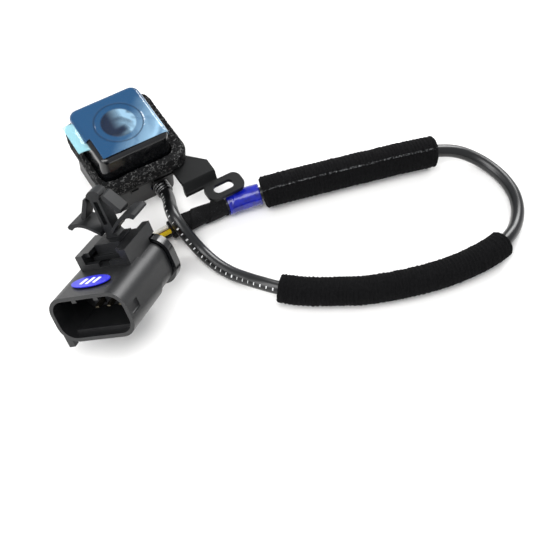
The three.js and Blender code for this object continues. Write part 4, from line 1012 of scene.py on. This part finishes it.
def clip_nylon():
    """Nylon 6.6: black, satin, slightly waxy, with a 0.25 mm grain."""
    material, tree, shader = new_material(
        "nylon_66_moulded", "#070708", 0.5, {"Specular IOR Level": 0.3})
    place, _ = grain(tree, shader, 0.25, 0.01)
    wax = add_node(tree, "TexNoise", {"Scale": per_mm(5), "Detail": 4}, {"Vector": place})
    tint = add_node(tree, "ValToRGB", links={0: wax.outputs[0]}, stops=[(0.4, "#0D0E0F"), (0.75, "#191A1C")])
    tree.links.new(tint.outputs[0], shader.inputs["Base Color"])
    return material


nylon = clip_nylon()
clip_pieces = [add_piece("clip_stem", softened("clip_base", 0.2), nylon, body="clip",
                         replaces=["clip_base"])]
for name in ("barb_left", "barb_right", "wing_left", "wing_right"):
    clip_pieces.append(add_piece(name, softened(f"clip_{name}", 0.2), nylon, body=name,
                                 replaces=[f"clip_{name}"]))


# ---------------------------------------------------------------- table, light and camera
# A pale matt table in a bright room: one large soft light on the right, one on the left, one above, and a
# pale surround that the glossy parts mirror. The camera looks down on the object from the front left.

CAMERA_AT = (-0.0808, -0.18794, 0.2717)
CAMERA_DOWN = math.radians(58.99)
CAMERA_TURN = math.radians(36.46)         # from +Y towards +X
CAMERA_ROLL = math.radians(4.32)
LENS_MM = 60.66                           # on a 36 mm sensor

floor = bmesh.new()
bmesh.ops.create_grid(floor, x_segments=2, y_segments=2, size=1.5)
mesh = bpy.data.meshes.new("table")
floor.to_mesh(mesh)
floor.free()
laminate, tree, shader = new_material("table_laminate_pale", "#F1F0EE", 0.6)
grain(tree, shader, 0.8, 0.01)
mesh.materials.append(laminate)
table = bpy.data.objects.new("table", mesh)
bpy.context.scene.collection.objects.link(table)

world = bpy.data.worlds.new("room")
world.use_nodes = True
surround = world.node_tree.nodes["Background"]
surround.inputs["Color"].default_value = colour("#F4F6FA")
surround.inputs["Strength"].default_value = 0.7
bpy.context.scene.world = world
bpy.context.scene.view_settings.view_transform = "Standard"

for name, at, size, power in (("window", (0.75, 0.45, 0.55), 0.5, 9),
                              ("fill", (-0.7, -0.1, 0.5), 0.5, 3.5),
                              ("ceiling", (-0.3, -0.15, 0.9), 0.6, 6.5)):
    light = bpy.data.lights.new(name, "AREA")
    light.size = size
    light.energy = power
    lamp = bpy.data.objects.new(name, light)
    lamp.location = at
    lamp.rotation_euler = (-Vector(at)).to_track_quat("-Z", "Y").to_euler()
    bpy.context.scene.collection.objects.link(lamp)

forward = Vector((math.sin(CAMERA_TURN) * math.cos(CAMERA_DOWN),
                  math.cos(CAMERA_TURN) * math.cos(CAMERA_DOWN),
                  -math.sin(CAMERA_DOWN)))
level = Vector((math.cos(CAMERA_TURN), -math.sin(CAMERA_TURN), 0))
above = level.cross(forward)
right = math.cos(CAMERA_ROLL) * level + math.sin(CAMERA_ROLL) * above
up = math.cos(CAMERA_ROLL) * above - math.sin(CAMERA_ROLL) * level
lens_data = bpy.data.cameras.new("camera")
lens_data.lens = LENS_MM
lens_data.sensor_width = 36
camera = bpy.data.objects.new("camera", lens_data)
camera.matrix_world = Matrix.Translation(CAMERA_AT) @ Matrix((right, up, -forward)).transposed().to_4x4()
bpy.context.scene.collection.objects.link(camera)
bpy.context.scene.camera = camera
